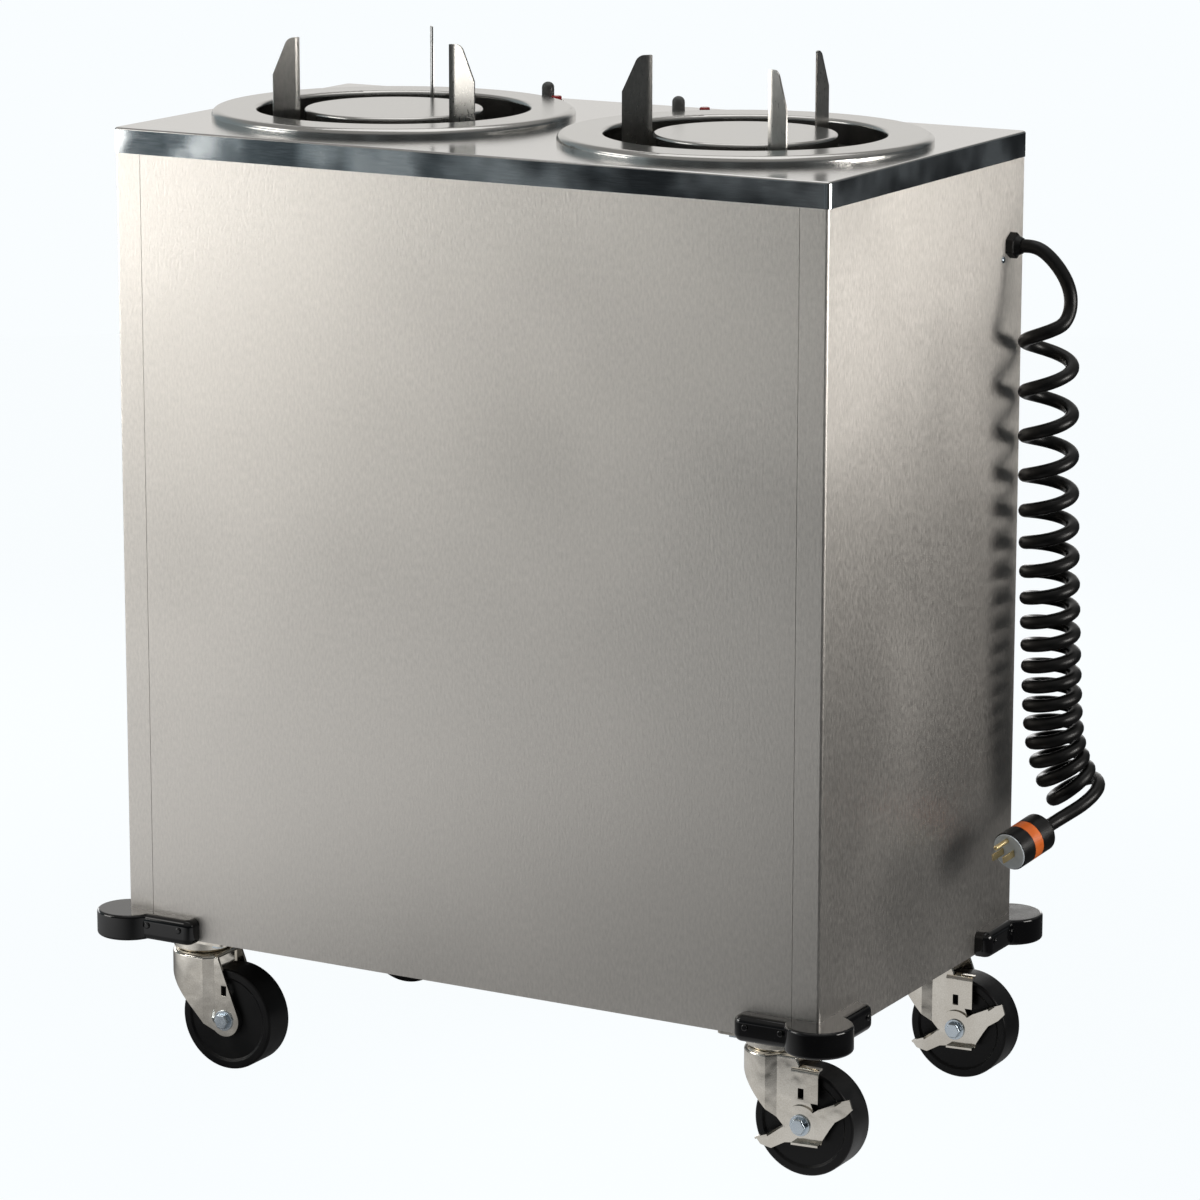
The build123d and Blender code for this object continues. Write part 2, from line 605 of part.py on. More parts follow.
def make_toggle_boot(side):
    """The rubber boot over a toggle's lever, with a ball for its foot."""
    x, y = SWITCH_PLACES[side]
    top = DECK_TOP + BOOT_TOP
    boot = rod(x, y, BOOT_PIVOT, top, BOOT_RADIUS)
    boot = fillet(boot.edges().sort_by(Axis.Z)[-1], BOOT_RADIUS * 0.95)
    return boot + Pos(x, y, BOOT_PIVOT) * Sphere(BOOT_RADIUS)


def make_pilot_lenses():
    """The red lenses, which pass through the deck."""
    lenses = []
    for side in SIDES:
        top = DECK_TOP + PILOT_LENS_RISE
        lens = rod(*PILOT_PLACES[side], DECK_TOP - PILOT_DEPTH, top, PILOT_LENS_RADIUS)
        lenses.append(fillet(lens.edges().sort_by(Axis.Z)[-1], PILOT_LENS_RADIUS / 3))
    return group(lenses)


def make_pilot_bezels():
    """The bright bezels round the lenses."""
    bezels = []
    for side in SIDES:
        x, y = PILOT_PLACES[side]
        top = DECK_TOP + PILOT_BEZEL_RISE
        bezel = rod(x, y, DECK_TOP, top, PILOT_BEZEL_RADIUS)
        bezel = fillet(bezel.edges().sort_by(Axis.Z)[-1], PILOT_BEZEL_RISE / 4)
        bezels.append(bezel - rod(x, y, DECK_TOP, top, PILOT_LENS_RADIUS))
    return group(bezels)


def make_terminal_box():
    """The wiring box on the inside of the right panel, behind the gland."""
    depth, width, height = TERMINAL_BOX
    high_y = INNER_Y - PAN_SHEET - POST_LEG - SEAM_GAP
    low_z = GLAND_Z - height / 2
    box = block(INNER_X - depth, INNER_X, high_y - width, high_y, low_z, low_z + height)
    wall = PAN_SHEET
    return box - block(INNER_X - depth + wall, INNER_X, high_y - width + wall, high_y - wall,
                       low_z + wall, low_z + height - wall)


# ---------------------------------------------------------------- bumpers
def bumper_arm():
    """The arm of the bumper at +x, +y that lies along the long panel, its outer edges rolled over."""
    low = BUMPER_TOP - BUMPER_HEIGHT
    arm = block(PANEL_X - BUMPER_ARM, PANEL_X, PANEL_Y, PANEL_Y + BUMPER_PROUD, low, BUMPER_TOP)
    outer_end = upright_edges(arm).sort_by(Axis.Y)[-2:].sort_by(Axis.X)[0]
    arm = fillet(outer_end, BUMPER_END_RADIUS)
    rims = arm.faces().filter_by(Axis.Z).edges()
    return fillet([edge for edge in rims if edge_is_free(edge)], BUMPER_ARM_EDGE)


def edge_is_free(edge):
    """Whether an edge of an arm's top or bottom lies off the panel and the corner lobe."""
    middle = edge @ 0.5
    return middle.Y > PANEL_Y + 0.01 and middle.X < PANEL_X - 0.01


def make_corner_bumpers():
    """Four black corner bumpers round the foot of the cabinet, each a lobe and two arms."""
    low = BUMPER_TOP - BUMPER_HEIGHT
    lobe = fillet(rod(PANEL_X, PANEL_Y, low, BUMPER_TOP, BUMPER_CORNER_RADIUS).edges().filter_by(GeomType.CIRCLE),
                  BUMPER_EDGE)
    arm = bumper_arm()
    swap = Plane(origin=(PANEL_X, PANEL_Y, 0), z_dir=(1, -1, 0))
    cabinet = block(-PANEL_X, PANEL_X, -PANEL_Y, PANEL_Y, low, BUMPER_TOP)
    bumper = lobe + arm + mirror(arm, swap) - fillet(upright_edges(cabinet), PANEL_BEND)
    for place, turn in rivet_places():
        bumper -= Pos(*place) * turn * Cylinder(RIVET_SHANK_RADIUS, 4 * BUMPER_PROUD)
    bumpers = []
    for sx, sy in CORNERS:
        copy = bumper
        if sx < 0:
            copy = mirror(copy, Plane.YZ)
        if sy < 0:
            copy = mirror(copy, Plane.XZ)
        bumpers.append(copy)
    return group(bumpers)


def rivet_places():
    """The rivets of the bumper at +x, +y, each as its place and its turn."""
    places = []
    for along in RIVET_PLACES:
        places.append(((PANEL_X - along, PANEL_Y + BUMPER_PROUD, RIVET_HEIGHT), Rot(90, 0, 0)))
        places.append(((PANEL_X + BUMPER_PROUD, PANEL_Y - along, RIVET_HEIGHT), Rot(0, 90, 0)))
    return places


def make_bumper_rivets():
    """The domed rivets that hold the bumpers to the panels."""
    shank_length = BUMPER_PROUD + PANEL_SHEET
    rivets = []
    for (x, y, z), turn in rivet_places():
        head = Cylinder(RIVET_RADIUS, RIVET_RISE, align=(Align.CENTER, Align.CENTER, Align.MIN))
        head = fillet(head.edges().sort_by(Axis.Z)[-1], RIVET_RISE * 0.8)
        head += Cylinder(RIVET_SHANK_RADIUS, shank_length, align=(Align.CENTER, Align.CENTER, Align.MAX))
        outward = Rot(-90, 0, 0) if y > PANEL_Y else Rot(0, 90, 0)
        rivet = Pos(x, y, z) * outward * head
        for sx, sy in CORNERS:
            copy = rivet if sx > 0 else mirror(rivet, Plane.YZ)
            rivets.append(copy if sy > 0 else mirror(copy, Plane.XZ))
    return group(rivets)


# ---------------------------------------------------------------- casters
def bolt_places(x, y):
    """The four bolts of a caster's plate."""
    span_x, span_y = BOLT_SPAN
    return [(x + sx * span_x / 2, y + sy * span_y / 2) for sx, sy in CORNERS]


def make_caster_plates():
    """The mounting plates, each with the upper race of its swivel."""
    plates = []
    for x, y in CASTERS.values():
        plate = block(x - PLATE_LENGTH / 2, x + PLATE_LENGTH / 2, y - PLATE_WIDTH / 2, y + PLATE_WIDTH / 2,
                      PLATE_BOTTOM, CHANNEL_BOTTOM)
        plate = fillet(upright_edges(plate), PLATE_CORNER)
        race = turned([(0, RACE_BOTTOM), (RACE_FOOT_RADIUS, RACE_BOTTOM),
                       (RACE_RADIUS, RACE_BOTTOM + PLATE_THICK),
                       (RACE_RADIUS, PLATE_BOTTOM), (0, PLATE_BOTTOM)])
        plate += Pos(x, y, 0) * race
        plate -= rod(x, y, RACE_BOTTOM, CHANNEL_BOTTOM, KING_PIN_RADIUS)
        for bolt_x, bolt_y in bolt_places(x, y):
            plate -= rod(bolt_x, bolt_y, PLATE_BOTTOM, CHANNEL_BOTTOM, BOLT_RADIUS)
        plates.append(plate)
    return group(plates)


def make_caster_bolts():
    """The bolts that hold each plate to its channel."""
    bolts = []
    for x, y in CASTERS.values():
        for bolt_x, bolt_y in bolt_places(x, y):
            shank_top = CHANNEL_BOTTOM + CHANNEL_SHEET
            bolt = rod(bolt_x, bolt_y, PLATE_BOTTOM, shank_top, BOLT_RADIUS)
            bolt += hexagon(bolt_x, bolt_y, PLATE_BOTTOM - BOLT_HEAD_HEIGHT, PLATE_BOTTOM, BOLT_HEAD_FLATS)
            bolt += hexagon(bolt_x, bolt_y, shank_top, shank_top + BOLT_HEAD_HEIGHT, BOLT_HEAD_FLATS)
            bolts.append(bolt)
    return group(bolts)


def make_king_pins():
    """The riveted pins that each fork turns on."""
    pins = []
    ceiling = FORK_TOP - FORK_SHEET
    for x, y in CASTERS.values():
        pin = rod(x, y, ceiling - FORK_TOP_GAP - KING_PIN_HEAD, CHANNEL_BOTTOM, KING_PIN_RADIUS)
        head_top = ceiling - FORK_TOP_GAP
        pin += rod(x, y, head_top - KING_PIN_HEAD, head_top, KING_PIN_HEAD_RADIUS)
        pins.append(pin)
    return group(pins)


def fork_plan(step_at, inset):
    """The plan outline of a fork, drawn in by a wall's thickness."""
    wide, narrow = FORK_RADIUS - inset, FORK_LOWER_HALF - inset
    step_start = CASTER_TRAIL + step_at
    step_end = step_start + FORK_STEP_LENGTH
    far = 2 * CASTER_TRAIL + FORK_END_RADIUS
    nose = ThreePointArc((0, wide), (-wide, 0), (0, -wide))
    rest = Polyline((0, -wide), (step_start, -wide), (step_end, -narrow), (far, -narrow),
                    (far, narrow), (step_end, narrow), (step_start, wide), (0, wide))
    return make_face([nose, *rest.edges()])


def fork_side():
    """The side outline of a fork: its cup, its sloped edges and its rounded end."""
    top = [(-FORK_RADIUS, FORK_NOSE_BOTTOM), (-FORK_RADIUS, FORK_TOP), (FORK_TAIL, FORK_TOP)]
    end = Pos(CASTER_TRAIL, WHEEL_RADIUS) * Circle(FORK_END_RADIUS)
    cup = make_face(Polyline(*top, close=True))
    return Plane.XZ * make_hull([*cup.edges(), *end.edges()])


def make_fork(name):
    """A pressed fork: a round cup whose two legs step in to the axle."""
    x, y = CASTERS[name]
    step_at = FORK_STEP_AT["braked" if name in BRAKED else "plain"]
    outer = extrude(fork_plan(step_at, 0), FORK_TOP)
    outer &= extrude(fork_side(), FORK_RADIUS + FORK_SHEET, both=True)
    outer = fillet(outer.faces().sort_by(Axis.Z)[-1].edges(), FORK_EDGE)
    inner = extrude(fork_plan(step_at, FORK_SHEET), FORK_TOP - FORK_SHEET)
    inner += block(CASTER_TRAIL, 3 * CASTER_TRAIL, -FORK_LOWER_HALF + FORK_SHEET,
                   FORK_LOWER_HALF - FORK_SHEET, 0, FORK_TOP - FORK_SHEET)
    fork = outer - inner
    fork -= rod(0, 0, FORK_TOP - FORK_SHEET, FORK_TOP, KING_PIN_RADIUS + RUNNING_CLEARANCE)
    across = Pos(CASTER_TRAIL, 0, WHEEL_RADIUS) * Rot(90, 0, 0)
    fork -= across * Cylinder(AXLE_RADIUS, 2 * FORK_RADIUS)
    width, height = FORK_SLOT
    slot_z = WHEEL_RADIUS + FORK_SLOT_RISE
    fork -= block(CASTER_TRAIL - width / 2, CASTER_TRAIL + width / 2, -FORK_RADIUS, FORK_RADIUS,
                  slot_z - height / 2, slot_z + height / 2)
    return Pos(x, y, 0) * fork


def axle_seat(name):
    """How far from the wheel's middle the axle's head sits on the front leg."""
    extra = BRAKE_SHEET + 2 * BRAKE_GAP if name in BRAKED else 0
    return FORK_LOWER_HALF + extra


def make_axle(name):
    """A bolt through both legs, with a flanged hex head in front and a nut behind."""
    x, y = CASTERS[name]
    seat, back = axle_seat(name), FORK_LOWER_HALF
    length = seat + back + AXLE_FLANGE_THICK + AXLE_HEX_HEIGHT
    up = (Align.CENTER, Align.CENTER, Align.MIN)
    axle = Pos(0, 0, -back - AXLE_FLANGE_THICK - AXLE_HEX_HEIGHT) * Cylinder(AXLE_RADIUS, length, align=up)
    for start, outward in ((seat, 1), (-back, -1)):
        middle = start + outward * AXLE_FLANGE_THICK / 2
        flange = Pos(0, 0, middle) * Cylinder(AXLE_HEAD_RADIUS, AXLE_FLANGE_THICK)
        low = start + outward * AXLE_FLANGE_THICK
        low, high = sorted((low, low + outward * AXLE_HEX_HEIGHT))
        nut = hexagon(0, 0, low, high, AXLE_HEX_FLATS)
        nut = chamfer(nut.faces().sort_by(Axis.Z)[-1 if outward > 0 else 0].edges(), AXLE_HEX_HEIGHT / 6)
        axle += flange + nut
    return lying_front(axle, x + CASTER_TRAIL, y, WHEEL_RADIUS)


def make_wheel(name):
    """A hard black wheel with a raised hub and a ring-shaped recess in each face."""
    x, y = CASTERS[name]
    half = WHEEL_WIDTH / 2
    hub = FORK_LOWER_HALF - FORK_SHEET - HUB_END_GAP
    bore = AXLE_RADIUS + RUNNING_CLEARANCE
    low, high, depth = FACE_RECESS
    floor = half - depth
    points = [(bore, hub), (HUB_RADIUS, hub), (HUB_RADIUS + depth / 2, floor), (high - depth, floor),
              (high, half), (WHEEL_RADIUS - WHEEL_EDGE, half)]
    upper = Polyline(*points)
    corner = JernArc(points[-1], (1, 0), WHEEL_EDGE, -90)
    tread = Line((WHEEL_RADIUS, half - WHEEL_EDGE), (WHEEL_RADIUS, -half + WHEEL_EDGE))
    lower = mirror(upper, Plane.XZ)
    lower_corner = mirror(corner, Plane.XZ)
    bore_line = Line((bore, -hub), (bore, hub))
    outline = make_face([*upper.edges(), corner, tread, *lower_corner.edges(), *lower.edges(), bore_line])
    wheel = revolve(Plane.XZ * outline, Axis.Z)
    return lying_front(wheel, x + CASTER_TRAIL, y, WHEEL_RADIUS)


# ----------------------------------------------------------------- brakes
def lever_outline():
    """The side outline of a brake lever about its axle."""
    arms = make_face(Polyline(*LEVER_RIGHT_ARM, *LEVER_LEFT_ARM, close=True))
    arms = fillet(arms.vertices(), LEVER_CORNER)
    return arms + Circle(LEVER_HUB_RADIUS)


def lever_flange(start, end, depth):
    """A flange along an edge of the lever, turned outward."""
    length = math.dist(start, end)
    heading = math.degrees(math.atan2(end[1] - start[1], end[0] - start[0]))
    strip = Pos(length / 2, BRAKE_SHEET / 2, depth / 2) * Box(length, BRAKE_SHEET, depth)
    return Pos(*start, 0) * Rot(0, 0, heading) * strip


def make_brake_lever(name):
    """The rocking lever on the axle, with a tread on each arm and a turned-out foot."""
    x, y = CASTERS[name]
    lever = extrude(lever_outline(), BRAKE_SHEET)
    right, left = LEVER_RIGHT_ARM, LEVER_LEFT_ARM
    flanges = ((right[2], right[1], LEVER_FLANGE), (left[-2], left[-3], LEVER_TREAD),
               (left[0], right[-1], LEVER_FLANGE))
    for start, end, depth in flanges:
        lever += lever_flange(start, end, depth)
    lever -= Cylinder(AXLE_RADIUS + RUNNING_CLEARANCE, 4 * LEVER_TREAD)
    return lying_front(lever, x + CASTER_TRAIL, y - FORK_LOWER_HALF - BRAKE_GAP, WHEEL_RADIUS)


def make_brake_bracket(name):
    """The slotted strap on the fork's front leg, hooked over at the top."""
    x, y = CASTERS[name]
    low = WHEEL_RADIUS + BRACKET_LOW
    high = 2 * WHEEL_RADIUS + BRACKET_OVER_WHEEL + BRAKE_SHEET
    start = CASTER_TRAIL + BRACKET_START
    outside = -FORK_LOWER_HALF - BRAKE_SHEET
    inside = outside + BRACKET_HOOK
    bracket = block(start, start + BRACKET_WIDTH, outside, inside, low, high)
    bracket = fillet(bracket.edges().filter_by(Axis.X).sort_by(Axis.Z)[-2:].sort_by(Axis.Y)[0], BRACKET_BEND)
    room = block(start, start + BRACKET_WIDTH, outside + BRAKE_SHEET, inside, low, high - BRAKE_SHEET)
    room = fillet(room.edges().filter_by(Axis.X).sort_by(Axis.Z)[-2:].sort_by(Axis.Y)[0],
                  BRACKET_BEND - BRAKE_SHEET)
    leg = extrude(offset(fork_side(), BRACKET_LEG_GAP), FORK_RADIUS + FORK_SHEET, both=True)
    leg &= block(start, start + BRACKET_WIDTH, -FORK_LOWER_HALF, inside, low, high)
    width, height = BRACKET_SLOT
    slot_z = WHEEL_RADIUS + BRACKET_SLOT_RISE
    bracket -= room + leg + block(CASTER_TRAIL - width / 2, CASTER_TRAIL + width / 2, outside, inside,
                            slot_z - height / 2, slot_z + height / 2)
    return Pos(x, y, 0) * bracket


# ------------------------------------------------------------------- cord
def make_cord_gland():
    """The strain relief: a hex cap outside, its thread through the panel, a nut inside."""
    up = (Align.CENTER, Align.CENTER, Align.MIN)
    cap = extrude(RegularPolygon(GLAND_FLATS / 2, 6, major_radius=False), GLAND_HEX)
    cap = chamfer(cap.faces().sort_by(Axis.Z)[-1].edges(), GLAND_HEX / 8)
    dome = Cone(GLAND_DOME_RADIUS, CORD_DIAMETER / 2 + 1, GLAND_REACH - GLAND_HEX, align=up)
    down = (Align.CENTER, Align.CENTER, Align.MAX)
    thread = Cylinder(GLAND_THREAD_RADIUS, GLAND_INSIDE, align=down)
    nut = Pos(0, 0, -PANEL_SHEET) * Cylinder(GLAND_NUT_RADIUS, GLAND_HEX / 2, align=down)
    return lying_x(cap + Pos(0, 0, GLAND_HEX) * dome + thread + nut, PANEL_X, GLAND_Y, GLAND_Z)


def make_ground_screw():
    """The small pan-head screw beside the gland."""
    up = (Align.CENTER, Align.CENTER, Align.MIN)
    head = Cylinder(GROUND_SCREW_RADIUS, GROUND_SCREW_RADIUS / 2, align=up)
    head = fillet(head.edges().sort_by(Axis.Z)[-1], GROUND_SCREW_RADIUS / 3)
    down = (Align.CENTER, Align.CENTER, Align.MAX)
    shank = Cylinder(GROUND_SCREW_RADIUS / 2, PANEL_SHEET + DECK_SHEET, align=down)
    return lying_x(head + shank, PANEL_X, *GROUND_SCREW_PLACE)


def coil_place(turn):
    """A place on the coil's centre line, its turns square to the coil's bending axis."""
    facing = math.radians(COIL_FACING)
    aside = Vector(math.cos(facing), math.sin(facing), 0)
    behind = Vector(-math.sin(facing), math.cos(facing), 0)
    closing = math.exp(-turn / COIL_PITCH_DECAY)
    opening = COIL_PITCH_TOP - COIL_PITCH_CLOSE
    height = COIL_TOP - COIL_PITCH_CLOSE * turn - opening * COIL_PITCH_DECAY * (1 - closing)
    past = max(0.0, turn - COIL_BEND_FROM) / COIL_BEND_OVER
    offset = COIL_DRIFT * turn + COIL_BEND * past ** 3
    slope = COIL_DRIFT + 3 * COIL_BEND * past ** 2 / COIL_BEND_OVER
    tilt = math.atan2(slope, COIL_PITCH_CLOSE + opening * closing)
    across = aside * math.cos(tilt) + Vector(0, 0, 1) * math.sin(tilt)
    angle = math.pi * (1 - 2 * turn)
    centre = Vector(*COIL_AXIS, height) + aside * offset
    return centre + (across * math.cos(angle) + behind * math.sin(angle)) * COIL_RADIUS


def coil_way(turn):
    """The heading of the cord at a place on the coil."""
    step = 0.001
    return (coil_place(turn + step) - coil_place(turn - step)).normalized()


def biarc(start, start_way, end, end_way):
    """Two arcs that join two places with given headings, smooth where they meet."""
    chord = end - start
    ways = start_way + end_way
    reach = 2 * (1 - start_way.dot(end_way))
    along = chord.dot(ways)
    span = (-along + math.sqrt(along ** 2 + reach * chord.dot(chord))) / reach
    first, last = start + start_way * span, end - end_way * span
    middle = (first + last) * 0.5
    way = (last - first).normalized()
    return [TangentArc(start, middle, tangent=start_way), TangentArc(middle, end, tangent=way)]


def joined_arcs(places, ways):
    """A smooth line of arcs through places with given headings."""
    edges = []
    for at in range(len(places) - 1):
        edges += biarc(places[at], ways[at], places[at + 1], ways[at + 1])
    return edges


def coil_end(turn, outward):
    """The end of the straight stub that starts or ends the coil."""
    return coil_place(turn) + coil_way(turn) * (outward * CORD_DIAMETER)


def coil_path():
    """The coil's centre line: two arcs to each quarter turn, and a straight stub at each end."""
    count = round((COIL_TURNS + COIL_EARLY_TURN) * COIL_STEPS_PER_TURN)
    turns = [-COIL_EARLY_TURN + index / COIL_STEPS_PER_TURN for index in range(count + 1)]
    arcs = joined_arcs([coil_place(turn) for turn in turns], [coil_way(turn) for turn in turns])
    first = Line(coil_end(turns[0], -1), coil_place(turns[0]))
    last = Line(coil_place(turns[-1]), coil_end(turns[-1], 1))
    return [first, *arcs, last]


def least_coil_gap():
    """The smallest space between one turn of the coil and the next."""
    fine = 48
    places = [coil_place(index / fine) for index in range(round(COIL_TURNS * fine))]
    least = min((places[i] - places[j]).length
                for i in range(0, len(places), 3)
                for j in range(i + fine * 3 // 4, min(i + fine * 5 // 4, len(places))))
    return least - CORD_DIAMETER


def tube_along(edges):
    """A round cord along joined edges."""
    wire = Wire(edges)
    section = Plane(origin=wire @ 0, z_dir=wire % 0) * Circle(CORD_DIAMETER / 2)
    return sweep(section, wire)


def lead_path():
    """The cord from the gland over to the top of the coil."""
    mouth = Vector(PANEL_X + GLAND_REACH, GLAND_Y, GLAND_Z)
    top = coil_end(-COIL_EARLY_TURN, -1)
    places = [mouth, *[Vector(*place) for place in LEAD_PLACES], top]
    ways = [*[Vector(*way).normalized() for way in LEAD_WAYS], coil_way(-COIL_EARLY_TURN)]
    return joined_arcs(places, ways)


def tail_path():
    """The cord from the foot of the coil into the back of the plug."""
    axis = Vector(*PLUG_AXIS).normalized()
    straight = Vector(*PLUG_BACK) - axis * CORD_DIAMETER
    arcs = joined_arcs([coil_end(COIL_TURNS, 1), straight], [coil_way(COIL_TURNS), axis])
    return [*arcs, Line(straight, Vector(*PLUG_BACK))]


def plug_frame():
    """The plug's own frame: z runs out along its blades."""
    axis = Vector(*PLUG_AXIS).normalized()
    return Plane(origin=PLUG_BACK, z_dir=axis, x_dir=Vector(0, 0, 1).cross(axis).normalized())


def make_plug():
    """The plug's four pieces: body, band, face and blades, by name."""
    full = PLUG_NECK_LENGTH + PLUG_BODY_LENGTH
    body = turned([(0, 0), (PLUG_NECK_RADIUS, 0), (PLUG_NECK_RADIUS + 1, PLUG_NECK_LENGTH / 8),
                   (PLUG_BODY_RADIUS, PLUG_NECK_LENGTH), (PLUG_BODY_RADIUS, full), (0, full)])
    band_low = PLUG_NECK_LENGTH + PLUG_BAND_START - PLUG_BAND_WIDTH
    band_high = band_low + PLUG_BAND_WIDTH
    groove = PLUG_BODY_RADIUS - PLUG_BAND_DEPTH
    band = turned([(groove, band_low), (PLUG_BODY_RADIUS, band_low), (PLUG_BODY_RADIUS, band_high),
                   (groove, band_high)])
    body -= band
    face = rod(0, 0, full, full + PLUG_FACE_THICK, PLUG_BODY_RADIUS - 1)
    face = fillet(face.edges().sort_by(Axis.Z)[-1], PLUG_FACE_THICK / 2)
    width, thick, reach = BLADE_SIZE
    root = full + PLUG_FACE_THICK
    blades = []
    for sign in (-1, 1):
        middle = sign * BLADE_SPACING / 2
        blade = block(middle - thick / 2, middle + thick / 2, -width / 2, width / 2, root, root + reach)
        blades.append(chamfer(blade.faces().sort_by(Axis.Z)[-1].edges(), thick / 4))
    pin = rod(0, GROUND_PIN_DROP, root, root + reach + 2, GROUND_PIN_RADIUS)
    blades.append(fillet(pin.edges().sort_by(Axis.Z)[-1], GROUND_PIN_RADIUS * 0.8))
    place = plug_frame().location
    return {
        "plug_body": place * body,
        "plug_band": place * band,
        "plug_face": place * face,
        "plug_blades": group([place * blade for blade in blades]),
    }


# ------------------------------------------------------------ all pieces
def make_pieces():
    """Every piece of the cart, by name."""
    pieces = {
        "top_deck": make_top_deck(),
        "front_panel": make_long_panel(-1),
        "rear_panel": make_long_panel(1),
        "left_side_panel": make_side_panel(-1),
        "right_side_panel": make_side_panel(1),
        "base_pan": make_base_pan(),
        "corner_posts": make_corner_posts(),
        "caster_channels": make_caster_channels(),
        "heating_elements": make_heating_elements(),
        "toggle_switches": make_toggle_switches(),
        "toggle_nuts": make_toggle_nuts(),
        "pilot_lenses": make_pilot_lenses(),
        "pilot_bezels": make_pilot_bezels(),
        "terminal_box": make_terminal_box(),
        "corner_bumpers": make_corner_bumpers(),
        "bumper_rivets": make_bumper_rivets(),
        "caster_plates": make_caster_plates(),
        "caster_bolts": make_caster_bolts(),
        "king_pins": make_king_pins(),
        "cord_gland": make_cord_gland(),
        "ground_screw": make_ground_screw(),
        "cord_lead": tube_along(lead_path()),
        "cord_coil": tube_along(coil_path()),
        "cord_tail": tube_along(tail_path()),
    }
    for side in SIDES:
        pieces[f"collar_{side}"] = make_collar(side)
        pieces[f"well_tube_{side}"] = make_well_tube(side)
        pieces[f"plate_guides_{side}"] = make_guides(side)
        pieces[f"carrier_disc_{side}"] = make_carrier_disc(side)
        pieces[f"carriage_{side}"] = make_carriage(side)
        pieces[f"lift_springs_{side}"] = make_lift_springs(side)
        pieces[f"toggle_boot_{side}"] = make_toggle_boot(side)
    for name in CASTERS:
        pieces[f"fork_{name}"] = make_fork(name)
        pieces[f"axle_{name}"] = make_axle(name)
        pieces[f"wheel_{name}"] = make_wheel(name)
    for name in BRAKED:
        pieces[f"brake_lever_{name}"] = make_brake_lever(name)
        pieces[f"brake_bracket_{name}"] = make_brake_bracket(name)
    pieces.update(make_plug())
    return pieces


for node, shape in make_pieces().items():
    export_step(shape, f"parts/{node}.step")
cord = sum(edge.length for path in (lead_path(), coil_path(), tail_path()) for edge in path)
arcs = [arc for path in (lead_path(), tail_path()) for arc in path if arc.geom_type == GeomType.CIRCLE]
bends = [arc.radius for arc in arcs]
print("least coil gap", round(least_coil_gap(), 2), "cord length", round(cord))
print("lead and tail bend radii", [round(bend, 1) for bend in bends])
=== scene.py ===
"""Looks of a two-well plate dispenser cart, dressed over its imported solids.

All places are in metres in the cart's own frame: x runs along its front,
y to the back and z up from the floor.
"""
import json
import logging
import math
from collections.abc import Sequence
from dataclasses import dataclass
from enum import Enum

import bpy
from mathutils import Matrix, Vector

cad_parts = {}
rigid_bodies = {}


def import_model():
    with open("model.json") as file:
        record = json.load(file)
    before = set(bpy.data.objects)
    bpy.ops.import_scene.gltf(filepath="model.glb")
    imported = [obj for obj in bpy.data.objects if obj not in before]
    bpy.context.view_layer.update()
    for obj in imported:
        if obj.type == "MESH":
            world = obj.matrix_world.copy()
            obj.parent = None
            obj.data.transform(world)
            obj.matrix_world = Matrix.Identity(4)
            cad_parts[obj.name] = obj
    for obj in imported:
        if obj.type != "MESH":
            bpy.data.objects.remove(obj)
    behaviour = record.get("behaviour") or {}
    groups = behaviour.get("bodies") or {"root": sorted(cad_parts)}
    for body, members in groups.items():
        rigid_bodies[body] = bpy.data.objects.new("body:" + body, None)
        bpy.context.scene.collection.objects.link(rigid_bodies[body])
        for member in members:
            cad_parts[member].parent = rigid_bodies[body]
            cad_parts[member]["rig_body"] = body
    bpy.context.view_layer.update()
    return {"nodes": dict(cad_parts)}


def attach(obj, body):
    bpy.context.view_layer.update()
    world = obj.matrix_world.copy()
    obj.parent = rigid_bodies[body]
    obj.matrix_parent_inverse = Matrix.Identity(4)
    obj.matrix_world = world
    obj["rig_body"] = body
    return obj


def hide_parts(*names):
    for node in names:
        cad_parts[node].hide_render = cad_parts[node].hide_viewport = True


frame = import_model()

logging.basicConfig(level=logging.INFO, format="%(name)s: %(message)s")
LOG = logging.getLogger("cart")

Colour = tuple[float, float, float]
Point = tuple[float, float, float]

# Corners closer than this, in metres, are one corner.
MERGE_GAP = 1e-6
# Faces that turn less than this, in degrees, are one face.
FLAT_ANGLE = 0.3
# Faces across each broken edge.
EDGE_STEPS = 2
# How much a large face outweighs a small one in the shading, in percent.
FACE_WEIGHT = 100
# The wells' centres along the cart's front, in metres.
WELL_CENTRES = {"left": -0.196, "right": 0.188}


# ------------------------------------------------------------ small tools
def deselect() -> None:
    """Leave nothing selected, in object mode."""
    if bpy.context.object is not None and bpy.context.object.mode != "OBJECT":
        bpy.ops.object.mode_set(mode="OBJECT")
    bpy.ops.object.select_all(action="DESELECT")


def pick(piece: bpy.types.Object) -> None:
    """Select one piece and make it the active one.

    Args:
        piece: the piece to select.
    """
    deselect()
    piece.select_set(True)
    bpy.context.view_layer.objects.active = piece


def edit(piece: bpy.types.Object) -> None:
    """Open a piece for editing with its whole mesh selected.

    Args:
        piece: the piece to open.
    """
    pick(piece)
    bpy.ops.object.mode_set(mode="EDIT")
    bpy.ops.mesh.select_all(action="SELECT")


def close_edit() -> None:
    """Go back to object mode."""
    bpy.ops.object.mode_set(mode="OBJECT")


def apply_modifier(piece: bpy.types.Object, kind: str, **settings: object) -> None:
    """Add one modifier and apply it at once.

    Args:
        piece: the piece that it shapes.
        kind: Blender's name for the modifier's type.
        settings: values for the modifier's own settings.
    """
    pick(piece)
    modifier = piece.modifiers.new(kind.title(), kind)
    for name, value in settings.items():
        setattr(modifier, name, value)
    bpy.ops.object.modifier_apply(modifier=modifier.name)


def smooth(piece: bpy.types.Object, degrees: float) -> None:
    """Shade a piece smooth except across edges sharper than an angle."""
    pick(piece)
    bpy.ops.object.shade_smooth_by_angle(angle=math.radians(degrees))


